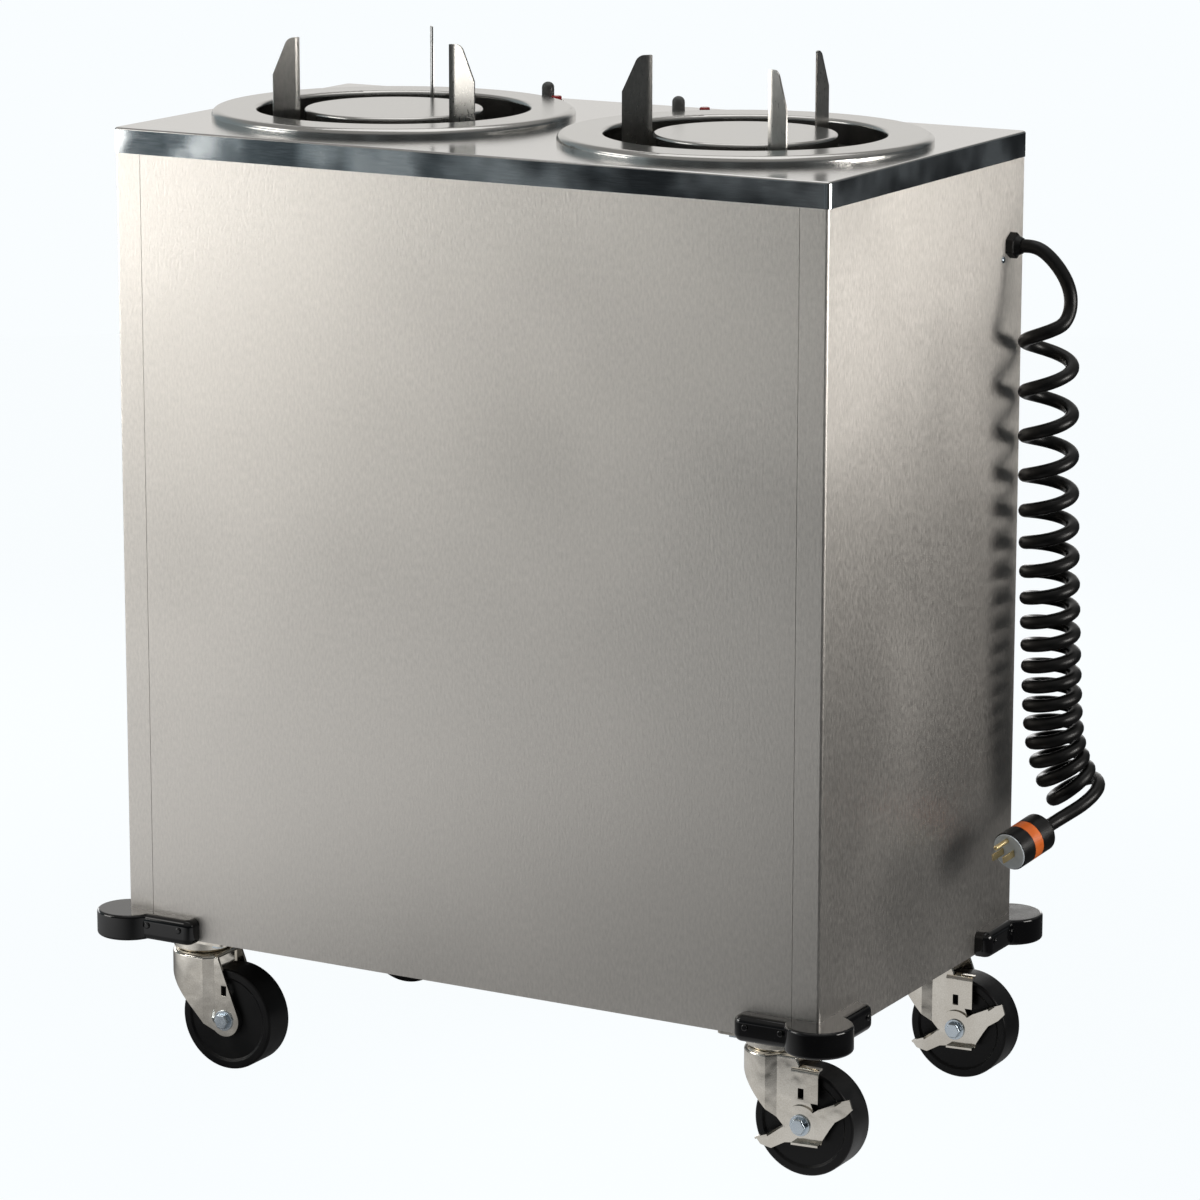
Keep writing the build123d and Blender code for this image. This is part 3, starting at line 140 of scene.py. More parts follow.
def copy_solid(solid: str) -> bpy.types.Object:
    """Copy a solid's mesh as a new piece with its triangles joined.

    Args:
        solid: the solid's name.

    Returns:
        The copy, free of the solid's own shading, with "_dressed" after its name.
    """
    mesh = frame["nodes"][solid].data.copy()
    piece = bpy.data.objects.new(solid + "_dressed", mesh)
    bpy.context.scene.collection.objects.link(piece)
    mesh.materials.clear()
    edit(piece)
    bpy.ops.mesh.customdata_custom_splitnormals_clear()
    bpy.ops.mesh.remove_doubles(threshold=MERGE_GAP)
    bpy.ops.mesh.dissolve_limited(angle_limit=math.radians(FLAT_ANGLE))
    close_edit()
    return piece


def body_of(solid: str) -> str:
    """Name the moving body that a solid belongs to."""
    return frame["nodes"][solid]["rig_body"]


# --------------------------------------------------------------- finishes
def new_group(name: str, inputs: dict[str, str], outputs: dict[str, str]) -> bpy.types.NodeTree:
    """Start a shader node group with typed sockets.

    Args:
        name: the group's name.
        inputs: socket names and kinds, such as {"Scale": "NodeSocketFloat"}.
        outputs: the same for what it puts out.

    Returns:
        The group, holding only its input and output nodes.
    """
    group = bpy.data.node_groups.new(name, "ShaderNodeTree")
    for socket, kind in inputs.items():
        group.interface.new_socket(socket, in_out="INPUT", socket_type=kind)
    for socket, kind in outputs.items():
        group.interface.new_socket(socket, in_out="OUTPUT", socket_type=kind)
    group.nodes.new("NodeGroupInput").name = "in"
    group.nodes.new("NodeGroupOutput").name = "out"
    return group


def join(tree: bpy.types.NodeTree, source: str, out: str | int, target: str, into: str | int) -> None:
    """Link two named nodes' sockets."""
    tree.links.new(tree.nodes[source].outputs[out], tree.nodes[target].inputs[into])


def node(tree: bpy.types.NodeTree, kind: str, name: str, values: dict[str | int, object] | None = None,
         **settings: object) -> bpy.types.Node:
    """Add a named node.

    Args:
        tree: the tree that it goes into.
        kind: Blender's name for the node's type.
        name: the name that links find it by.
        values: constants for its input sockets.
        settings: values for the node's own settings.

    Returns:
        The new node.
    """
    made = tree.nodes.new(kind)
    made.name = name
    for key, value in settings.items():
        setattr(made, key, value)
    for socket, value in (values or {}).items():
        made.inputs[socket].default_value = value
    return made


def streak_group() -> bpy.types.NodeTree:
    """Make the group for brushed streaks, with a coordinate stretched along the grain.

    Returns:
        The group, whose value runs up and down with the streaks.
    """
    tree = new_group("brushed_streaks", {"Vector": "NodeSocketVector", "Stretch": "NodeSocketVector"},
                     {"Value": "NodeSocketFloat"})
    node(tree, "ShaderNodeVectorMath", "stretch", operation="MULTIPLY")
    node(tree, "ShaderNodeTexNoise", "streaks", {"Scale": 1.0, "Detail": 4.0, "Roughness": 0.65})
    node(tree, "ShaderNodeMapRange", "contrast", {"From Min": 0.32, "From Max": 0.68})
    join(tree, "in", "Vector", "stretch", 0)
    join(tree, "in", "Stretch", "stretch", 1)
    join(tree, "stretch", 0, "streaks", "Vector")
    join(tree, "streaks", "Fac", "contrast", "Value")
    join(tree, "contrast", "Result", "out", "Value")
    return tree


def ring_group() -> bpy.types.NodeTree:
    """Make the group for turned grain, in rings round a coordinate's z axis.

    Returns:
        The group, whose value runs up and down with the rings.
    """
    tree = new_group("turned_rings", {"Vector": "NodeSocketVector", "Rings": "NodeSocketFloat"},
                     {"Value": "NodeSocketFloat"})
    node(tree, "ShaderNodeVectorMath", "flat", {1: (1.0, 1.0, 0.0)}, operation="MULTIPLY")
    node(tree, "ShaderNodeVectorMath", "radius", operation="LENGTH")
    node(tree, "ShaderNodeMath", "rings", operation="MULTIPLY")
    node(tree, "ShaderNodeTexNoise", "grain", {"Scale": 1.0, "Detail": 3.0}, noise_dimensions="1D")
    join(tree, "in", "Vector", "flat", 0)
    join(tree, "flat", 0, "radius", 0)
    join(tree, "radius", "Value", "rings", 0)
    join(tree, "in", "Rings", "rings", 1)
    join(tree, "rings", 0, "grain", "W")
    join(tree, "grain", "Fac", "out", "Value")
    return tree


def cloud_group() -> bpy.types.NodeTree:
    """Make the group for soft patches, such as handling marks, uneven sheen and the apron's painted
    reflections.

    Returns:
        The group, whose value runs up and down with the patches.
    """
    tree = new_group("soft_patches", {"Vector": "NodeSocketVector", "Scale": "NodeSocketFloat"},
                     {"Value": "NodeSocketFloat"})
    node(tree, "ShaderNodeTexNoise", "patches", {"Detail": 2.0, "Roughness": 0.5})
    node(tree, "ShaderNodeMapRange", "spread", {"From Min": 0.35, "From Max": 0.65},
         interpolation_type="SMOOTHSTEP")
    join(tree, "in", "Vector", "patches", "Vector")
    join(tree, "in", "Scale", "patches", "Scale")
    join(tree, "patches", "Fac", "spread", "Value")
    join(tree, "spread", "Result", "out", "Value")
    return tree


STREAKS = streak_group()
RINGS = ring_group()
PATCHES = cloud_group()


class Grain(Enum):
    """Which way a metal's brushing runs, as streaks per metre along x, y and z."""

    UPRIGHT = (430.0, 430.0, 150.0)
    LENGTHWISE = (60.0, 900.0, 900.0)
    EVEN = (700.0, 700.0, 700.0)
    TURNED = (0.0, 0.0, 0.0)


@dataclass(frozen=True)
class Finish:
    """What every finish shares: two colours and a roughness that vary together.

    The spread is how far the roughness goes to either side of its middle value.
    """

    name: str
    colour: Colour
    shade: Colour
    roughness: float
    spread: float = 0.06

    def material(self) -> bpy.types.Material:
        """Build the material once and give it back on later calls.

        Returns:
            The material with the finish's name.
        """
        if self.name in bpy.data.materials:
            return bpy.data.materials[self.name]
        made = bpy.data.materials.new(self.name)
        made.use_nodes = True
        tree = made.node_tree
        shader = tree.nodes["Principled BSDF"]
        shader.name = "shader"
        node(tree, "ShaderNodeTexCoord", "place")
        self.fill(tree, shader)
        return made

    def fill(self, tree: bpy.types.NodeTree, shader: bpy.types.Node) -> None:
        """Add the finish's own nodes.

        Args:
            tree: the material's tree, which holds the "shader" and "place" nodes.
            shader: its shader.
        """
        raise NotImplementedError

    def vary(self, tree: bpy.types.NodeTree, source: str) -> None:
        """Vary the colour and the roughness together.

        Args:
            tree: the material's tree.
            source: the node whose value they follow.
        """
        node(tree, "ShaderNodeMix", "colour", {"A": (*self.shade, 1.0), "B": (*self.colour, 1.0)},
             data_type="RGBA")
        node(tree, "ShaderNodeMapRange", "rough",
             {"To Min": self.roughness - self.spread, "To Max": self.roughness + self.spread})
        join(tree, source, 0, "colour", 0)
        join(tree, source, 0, "rough", "Value")
        join(tree, "colour", "Result", "shader", "Base Color")
        join(tree, "rough", "Result", "shader", "Roughness")


@dataclass(frozen=True)
class Metal(Finish):
    """A bare or plated metal, with brushing, patches of sheen and a fine relief; on the apron the patches
    of colour are painted reflections.

    The patchiness is the patches' share of the change in colour and roughness, and the
    brushing has the rest. The depth of the relief is in metres: the waves are the share of
    it that the patches have, and the relief, made less by the brushed share, is the
    brushing's. Turned grain has so many rings to the metre round its centre.
    """

    grain: Grain = Grain.UPRIGHT
    relief: float = 0.02
    anisotropy: float = 0.0
    patch_scale: float = 3.0
    patchiness: float = 0.4
    waves: float = 0.0
    centre: Point = (0.0, 0.0, 0.0)
    rings: float = 1500.0
    depth: float = 0.001
    brushed_share: float = 0.2

    def fill(self, tree: bpy.types.NodeTree, shader: bpy.types.Node) -> None:
        """Add the brushing, the patches and the relief.

        Args:
            tree: the material's tree.
            shader: its shader.
        """
        shader.inputs["Metallic"].default_value = 1.0
        shader.inputs["Anisotropic"].default_value = self.anisotropy
        node(tree, "ShaderNodeMapping", "centre", {"Location": [-c for c in self.centre]})
        if self.grain is Grain.TURNED:
            turned = node(tree, "ShaderNodeGroup", "grain", node_tree=RINGS)
            turned.inputs["Rings"].default_value = self.rings
        else:
            streaks = node(tree, "ShaderNodeGroup", "grain", node_tree=STREAKS)
            streaks.inputs["Stretch"].default_value = self.grain.value
        patches = node(tree, "ShaderNodeGroup", "patches", node_tree=PATCHES)
        patches.inputs["Scale"].default_value = self.patch_scale
        node(tree, "ShaderNodeMath", "patched", {1: self.patchiness}, operation="MULTIPLY")
        node(tree, "ShaderNodeMath", "blend", {1: 1.0 - self.patchiness}, operation="MULTIPLY_ADD")
        node(tree, "ShaderNodeMath", "waves", {1: self.waves}, operation="MULTIPLY")
        node(tree, "ShaderNodeMath", "height", {1: self.brushed_share * self.relief},
             operation="MULTIPLY_ADD")
        node(tree, "ShaderNodeBump", "relief", {"Distance": self.depth})
        join(tree, "place", "Object", "centre", "Vector")
        join(tree, "centre", 0, "grain", "Vector")
        join(tree, "centre", 0, "patches", "Vector")
        join(tree, "patches", 0, "patched", 0)
        join(tree, "grain", 0, "blend", 0)
        join(tree, "patched", 0, "blend", 2)
        self.vary(tree, "blend")
        join(tree, "patches", 0, "waves", 0)
        join(tree, "grain", 0, "height", 0)
        join(tree, "waves", 0, "height", 2)
        join(tree, "height", 0, "relief", "Height")
        join(tree, "relief", 0, "shader", "Normal")


@dataclass(frozen=True)
class Moulded(Finish):
    """A moulded plastic or rubber, with a fine relief and dull patches."""

    relief: float = 0.05
    scale: float = 900.0
    coat: float = 0.0
    clear: float = 0.0
    specular: float = 0.5
    coat_roughness: float = 0.08
    patch_scale: float = 40.0
    depth: float = 0.0003

    def fill(self, tree: bpy.types.NodeTree, shader: bpy.types.Node) -> None:
        """Add the patches and the relief.

        Args:
            tree: the material's tree.
            shader: its shader.
        """
        shader.inputs["Coat Weight"].default_value = self.coat
        shader.inputs["Coat Roughness"].default_value = self.coat_roughness
        shader.inputs["Transmission Weight"].default_value = self.clear
        shader.inputs["Specular IOR Level"].default_value = self.specular
        node(tree, "ShaderNodeTexNoise", "grain", {"Scale": self.scale, "Detail": 3.0})
        patches = node(tree, "ShaderNodeGroup", "patches", node_tree=PATCHES)
        patches.inputs["Scale"].default_value = self.patch_scale
        node(tree, "ShaderNodeBump", "relief", {"Strength": self.relief, "Distance": self.depth})
        join(tree, "place", "Object", "grain", "Vector")
        join(tree, "place", "Object", "patches", "Vector")
        self.vary(tree, "patches")
        join(tree, "grain", "Fac", "relief", "Height")
        join(tree, "relief", 0, "shader", "Normal")


PANEL_STEEL = Metal("panel_steel", (0.72, 0.69, 0.65), (0.52, 0.50, 0.47), 0.45, 0.07, relief=0.35,
                    anisotropy=0.55)
DECK_STEEL = Metal("deck_steel", (0.72, 0.71, 0.69), (0.6, 0.59, 0.58), 0.16, 0.05, Grain.LENGTHWISE, 0.03)
# The apron's smooth steel: its dark and pale patches of colour are painted reflections of the room.
APRON_PAINTED_REFLECTIONS = Metal("apron_steel_painted_reflections", (0.95, 0.98, 1.0), (0.2, 0.22, 0.235), 0.12, 0.05, Grain.LENGTHWISE,
                    0.03, patch_scale=13.0, patchiness=0.85, waves=0.1)
HIDDEN_STEEL = Metal("hidden_steel", (0.34, 0.33, 0.32), (0.24, 0.235, 0.23), 0.42, 0.08, Grain.EVEN)
# Steel for the parts inside the wells, darkened as painted shade: the shadow inside the wells is painted
# into its colour.
WELL_SHADE_STEEL = Metal("well_steel_painted_shade", (0.4, 0.385, 0.365), (0.2, 0.19, 0.18), 0.38, 0.08)
BLADE_STEEL = Metal("blade_steel", (0.5, 0.485, 0.46), (0.36, 0.35, 0.33), 0.3, 0.06, relief=0.05)
BRIGHT_STEEL = Metal("bright_steel", (0.86, 0.85, 0.83), (0.76, 0.75, 0.73), 0.36, 0.08, Grain.EVEN, 0.05)
NICKEL = Metal("nickel_plate", (0.95, 0.91, 0.83), (0.74, 0.69, 0.61), 0.12, 0.05, Grain.EVEN, 0.05,
               patch_scale=30.0, waves=0.5)
ZINC = Metal("zinc_plate", (0.74, 0.82, 0.88), (0.6, 0.68, 0.76), 0.24, 0.08, Grain.EVEN, 0.05,
             patch_scale=120.0)
BRASS = Metal("brass", (0.86, 0.66, 0.32), (0.74, 0.54, 0.24), 0.2, 0.06, Grain.EVEN, patch_scale=90.0)
BUMPER_BLACK = Moulded("bumper_black", (0.003, 0.003, 0.0035), (0.0015, 0.0015, 0.002), 0.05, 0.02, 0.01,
                       300.0)
WHEEL_BLACK = Moulded("wheel_black", (0.006, 0.006, 0.0065), (0.003, 0.003, 0.0035), 0.4, relief=0.12,
                      specular=0.25)
CORD_BLACK = Moulded("cord_black", (0.005, 0.005, 0.005), (0.003, 0.003, 0.003), 0.36, 0.05, 0.06,
                     specular=0.3)
BOOT_GREY = Moulded("boot_rubber", (0.12, 0.122, 0.118), (0.07, 0.071, 0.069), 0.42, relief=0.1)
LENS_RED = Moulded("lens_red", (0.55, 0.012, 0.012), (0.4, 0.008, 0.008), 0.12, 0.03, 0.01, coat=0.5,
                   clear=0.2)
PLUG_BLACK = Moulded("plug_black", (0.007, 0.007, 0.007), (0.004, 0.004, 0.004), 0.36, specular=0.35)
BAND_ORANGE = Moulded("band_orange", (0.86, 0.19, 0.03), (0.78, 0.16, 0.025), 0.38)
FACE_GREY = Moulded("face_grey", (0.74, 0.8, 0.84), (0.62, 0.68, 0.72), 0.42)


@dataclass
class Dressing:
    """Dresses copies of the cart's solids with bevelled edges and a finish.

    Edges sharper than its angle, in degrees, are broken by a bevel of its width, in metres.
    """

    bevel: float = 0.0003
    sharp: float = 32.0

    def dress(self, names: Sequence[str], finish: Finish, bevel: float | None = None) -> None:
        """Replace each named solid with a bevelled copy in one finish.

        Args:
            names: the solids to replace.
            finish: the material that they get.
            bevel: the width of the edge break in metres, or None for the usual one.
        """
        width = self.bevel if bevel is None else bevel
        for name in names:
            piece = copy_solid(name)
            if width > 0:
                apply_modifier(piece, "BEVEL", width=width, segments=EDGE_STEPS, limit_method="ANGLE",
                               angle_limit=math.radians(self.sharp), use_clamp_overlap=True)
            smooth(piece, self.sharp)
            apply_modifier(piece, "WEIGHTED_NORMAL", keep_sharp=True, weight=FACE_WEIGHT)
            piece.data.materials.append(finish.material())
            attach(piece, body_of(name))
            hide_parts(name)
            LOG.info("dressed %s, %d faces", name, len(piece.data.polygons))

    def paint(self, names: Sequence[str], finish: Finish) -> None:
        """Give solids that stay as they are a finish.

        Args:
            names: the solids to paint.
            finish: the material that they get.
        """
        for name in names:
            solid = frame["nodes"][name]
            solid.data.materials.clear()
            solid.data.materials.append(finish.material())
            LOG.info("painted %s", name)


# ----------------------------------------------------------------- studio
@dataclass(frozen=True)
class FloorPatch:
    """A pale round patch of floor, which fades from one radius to another.

    Its places and radii are in metres.
    """

    middle: Point
    edge: float
    inside: float
    strength: float


@dataclass(frozen=True)
class Lamp:
    """A flat soft lamp, in metres, watts and degrees."""

    name: str
    at: Point
    towards: Point
    size: tuple[float, float]
    power: float
    colour: Colour = (1.0, 1.0, 1.0)
    spread: float = 180.0

    def hang(self) -> None:
        """Add the lamp to the scene, unseen by the camera."""
        data = bpy.data.lights.new(self.name, "AREA")
        data.shape = "RECTANGLE"
        data.size, data.size_y = self.size
        data.energy = self.power
        data.color = self.colour
        data.spread = math.radians(self.spread)
        lamp = bpy.data.objects.new(self.name, data)
        bpy.context.scene.collection.objects.link(lamp)
        lamp.location = self.at
        lamp.visible_camera = False
        lamp.rotation_euler = (Vector(self.towards) - Vector(self.at)).to_track_quat("-Z", "Y").to_euler()


WARM = (1.0, 0.97, 0.93)
LAMPS = (
    Lamp("front_left_low", (-1.57, -1.12, 0.30), (-0.35, -0.2, 0.45), (0.9, 0.45), 0.75, WARM, 120.0),
    Lamp("front_left_middle", (-1.57, -1.12, 0.75), (-0.35, -0.2, 0.65), (0.9, 0.45), 4.4, WARM, 120.0),
    Lamp("front_left_high", (-1.57, -1.12, 1.65), (-0.35, -0.2, 0.95), (0.9, 0.45), 1.5, WARM, 120.0),
    Lamp("right_middle", (1.9, 0.2, 0.80), (0.38, -0.1, 0.80), (0.9, 0.4), 7.6, WARM, 120.0),
    Lamp("right_low", (1.9, 0.2, 0.40), (0.38, -0.1, 0.50), (0.9, 0.3), 0.9, WARM, 120.0),
    Lamp("overhead", (0.0, 0.3, 3.2), (0.0, 0.0, 0.9), (2.4, 2.0), 16.0),
    Lamp("rear_fill", (-0.7, 2.3, 0.5), (-0.1, 0.2, 0.5), (1.5, 0.6), 7.0),
    Lamp("left_fill", (-2.4, 0.7, 0.5), (-0.4, 0.0, 0.5), (1.4, 0.6), 7.0),
)
PALE_FLOOR = (
    FloorPatch((-1.25, -1.25, 0.0), 1.6, 0.4, 1.15),
    FloorPatch((0.2, -0.15, 0.0), 0.55, 0.15, 0.5),
    FloorPatch((-0.5, 1.45, 0.0), 1.05, 0.3, 0.6),
    FloorPatch((-1.6, 0.6, 0.0), 1.1, 0.3, 0.6),
)


@dataclass
class Studio:
    """The camera, the room that the metal mirrors, the floor and the lamps.

    The camera's turns are in degrees and its lens in millimetres. The room's edges are
    ranges of a ray's heading, or of the noise that stands for things in the room.
    """

    camera_at: Point = (2.2832, -3.9907, 1.5071)
    yaw: float = 29.08
    pitch: float = 12.20
    roll: float = 0.16
    lens: float = 146.01
    sensor: float = 36.0
    shift: tuple[float, float] = (-0.0229, -0.0372)
    reach: tuple[float, float] = (0.1, 60.0)
    backdrop: Colour = (0.948, 0.983, 1.0)
    mirrored: float = 0.03
    shown: float = 0.97
    floor_glow: float = 1.025
    floor_paper: Colour = (0.06, 0.061, 0.063)
    floor_radius: float = 4.4
    floor_sides: int = 96
    floor_gap: float = 0.0005
    things_stretch: Point = (17.0, 17.0, 5.0)
    things_edge: tuple[float, float] = (0.5, 0.62)
    things_share: float = 0.4
    left_wall_edge: tuple[float, float] = (-0.525, -0.56)
    ceiling_edge: tuple[float, float] = (0.2, 0.7)
    back_wall: Point = (-0.47, 0.866, 0.17)
    back_wall_edge: tuple[float, float] = (0.84, 0.95)
    dark_tone: Colour = (0.012, 0.013, 0.014)
    left_tone: Colour = (0.25, 0.3, 0.32)
    ceiling_tone: Colour = (0.32, 0.315, 0.305)
    back_tone: Colour = (0.8, 0.785, 0.76)

    def make_camera(self) -> None:
        """Stand the camera where the photograph was taken."""
        data = bpy.data.cameras.new("camera")
        data.sensor_width = self.sensor
        data.lens = self.lens
        data.shift_x, data.shift_y = self.shift
        data.clip_start, data.clip_end = self.reach
        camera = bpy.data.objects.new("camera", data)
        bpy.context.scene.collection.objects.link(camera)
        camera.location = self.camera_at
        turn = Matrix.Rotation(math.radians(self.yaw), 3, "Z")
        tilt = Matrix.Rotation(math.radians(90.0 - self.pitch), 3, "X")
        lean = Matrix.Rotation(math.radians(self.roll), 3, "Z")
        camera.rotation_euler = (turn @ tilt @ lean).to_euler()
        bpy.context.scene.camera = camera

    def add_edge(self, tree: bpy.types.NodeTree, name: str, source: str, out: str,
                 edge: tuple[float, float], top: float = 1.0) -> None:
        """Add a soft step from nothing to its top as a value crosses an edge.

        Args:
            tree: the tree that it goes into.
            name: the new node's name.
            source: the node whose value crosses the edge.
            out: that node's output.
            edge: the values where the step starts and where it is full.
            top: how high the step goes.
        """
        node(tree, "ShaderNodeMapRange", name, {"From Min": edge[0], "From Max": edge[1], "To Max": top},
             interpolation_type="SMOOTHSTEP")
        join(tree, source, out, name, "Value")

    def make_world(self) -> None:
        """Make a dim room with a paler ceiling, left side and back, for the metal to mirror.

        The camera sees the backdrop's colour in its place.
        """
        world = bpy.data.worlds.new("studio")
        bpy.context.scene.world = world
        world.use_nodes = True
        tree = world.node_tree
        tree.nodes["Background"].name = "glow"
        tree.nodes["glow"].inputs["Strength"].default_value = 1.0
        node(tree, "ShaderNodeTexCoord", "heading")
        node(tree, "ShaderNodeSeparateXYZ", "parts")
        node(tree, "ShaderNodeMapping", "stretch", {"Scale": self.things_stretch})
        node(tree, "ShaderNodeTexNoise", "patches", {"Scale": 1.0, "Detail": 0.0})
        node(tree, "ShaderNodeVectorMath", "behind", {1: self.back_wall}, operation="DOT_PRODUCT")
        for name in ("parts", "behind"):
            join(tree, "heading", "Generated", name, 0)
        join(tree, "heading", "Generated", "stretch", "Vector")
        join(tree, "stretch", 0, "patches", "Vector")
        self.add_edge(tree, "left_wall", "parts", "X", self.left_wall_edge)
        self.add_edge(tree, "things", "patches", "Fac", self.things_edge, self.things_share)
        self.add_edge(tree, "ceiling", "parts", "Z", self.ceiling_edge)
        self.add_edge(tree, "wall", "behind", "Value", self.back_wall_edge)
        node(tree, "ShaderNodeMath", "either", operation="MAXIMUM")
        join(tree, "left_wall", "Result", "either", 0)
        join(tree, "things", "Result", "either", 1)
        node(tree, "ShaderNodeMix", "low", {"A": (*self.dark_tone, 1.0), "B": (*self.left_tone, 1.0)},
             data_type="RGBA")
        node(tree, "ShaderNodeMix", "high", {"B": (*self.ceiling_tone, 1.0)}, data_type="RGBA")
        node(tree, "ShaderNodeMix", "room", {"B": (*self.back_tone, 1.0)}, data_type="RGBA")
        for share, mix in (("either", "low"), ("ceiling", "high"), ("wall", "room")):
            join(tree, share, 0, mix, 0)
        join(tree, "low", "Result", "high", "A")
        join(tree, "high", "Result", "room", "A")
        join(tree, "room", "Result", "glow", "Color")
        node(tree, "ShaderNodeBackground", "seen", {"Color": (*self.backdrop, 1.0)})
        node(tree, "ShaderNodeMixShader", "choose")
        self.add_share(tree, 1.0, self.mirrored)
        join(tree, "glow", 0, "choose", 1)
        join(tree, "seen", 0, "choose", 2)
        join(tree, "choose", 0, "World Output", "Surface")

    def add_share(self, tree: bpy.types.NodeTree, seen: float, mirrored: float) -> None:
        """Feed a tree's "choose" shader with how much of the backdrop a ray meets.

        Args:
            tree: the world's or the floor's node tree.
            seen: the share for the camera's own rays.
            mirrored: the share for rays that come by way of metal or through glass.
        """
        node(tree, "ShaderNodeLightPath", "path")
        node(tree, "ShaderNodeMath", "by_metal_or_glass", operation="MAXIMUM")
        node(tree, "ShaderNodeMath", "mirrored", {1: mirrored}, operation="MULTIPLY")
        node(tree, "ShaderNodeMath", "share", {1: seen}, operation="MULTIPLY_ADD")
        join(tree, "path", "Is Glossy Ray", "by_metal_or_glass", 0)
        join(tree, "path", "Is Transmission Ray", "by_metal_or_glass", 1)
        join(tree, "by_metal_or_glass", 0, "mirrored", 0)
        join(tree, "path", "Is Camera Ray", "share", 0)
        join(tree, "mirrored", 0, "share", 2)
        join(tree, "share", 0, "choose", 0)

    def add_patches(self, tree: bpy.types.NodeTree) -> str:
        """Add up the floor's pale patches.

        Args:
            tree: the floor's tree, which holds the "place" node.

        Returns:
            The name of the node that gives their sum.
        """
        total = ""
        for index, patch in enumerate(PALE_FLOOR):
            far, pale, both = f"far_{index}", f"pale_{index}", f"sum_{index}"
            node(tree, "ShaderNodeVectorMath", far, {1: patch.middle}, operation="DISTANCE")
            join(tree, "place", "Object", far, 0)
            self.add_edge(tree, pale, far, "Value", (patch.edge, patch.inside), patch.strength)
            if total:
                node(tree, "ShaderNodeMath", both, operation="ADD")
                join(tree, total, 0, both, 0)
                join(tree, pale, 0, both, 1)
            total = both if total else pale
        return total

    def make_floor(self) -> None:
        """Lay a floor of dark paper with pale patches, which the metal mirrors.

        The camera sees mostly the backdrop's colour in its place, with a faint soft shadow.
        """
        deselect()
        bpy.ops.mesh.primitive_circle_add(vertices=self.floor_sides, radius=self.floor_radius,
                                          fill_type="NGON", location=(0.0, 0.0, -self.floor_gap))
        floor = bpy.context.object
        floor.name = "floor"
        finish = bpy.data.materials.new("floor_paper")
        finish.use_nodes = True
        tree = finish.node_tree
        tree.nodes.remove(tree.nodes["Principled BSDF"])
        node(tree, "ShaderNodeBsdfDiffuse", "paper", {"Color": (*self.floor_paper, 1.0)})
        node(tree, "ShaderNodeTexCoord", "place")
        node(tree, "ShaderNodeEmission", "pale_side")
        node(tree, "ShaderNodeAddShader", "mirrored_floor")
        node(tree, "ShaderNodeEmission", "glow",
             {"Color": (*self.backdrop, 1.0), "Strength": self.floor_glow})
        node(tree, "ShaderNodeMixShader", "choose")
        self.add_share(tree, self.shown, self.mirrored)
        join(tree, self.add_patches(tree), 0, "pale_side", "Color")
        join(tree, "paper", 0, "mirrored_floor", 0)
        join(tree, "pale_side", 0, "mirrored_floor", 1)
        join(tree, "mirrored_floor", 0, "choose", 1)
        join(tree, "glow", 0, "choose", 2)
        join(tree, "choose", 0, "Material Output", "Surface")
        floor.data.materials.append(finish)

    def make(self) -> None:
        """Make the camera, the surroundings and the lamps."""
        self.make_camera()
        self.make_world()
        self.make_floor()
        for lamp in LAMPS:
            lamp.hang()
        bpy.context.scene.view_settings.view_transform = "Standard"
        LOG.info("studio ready")


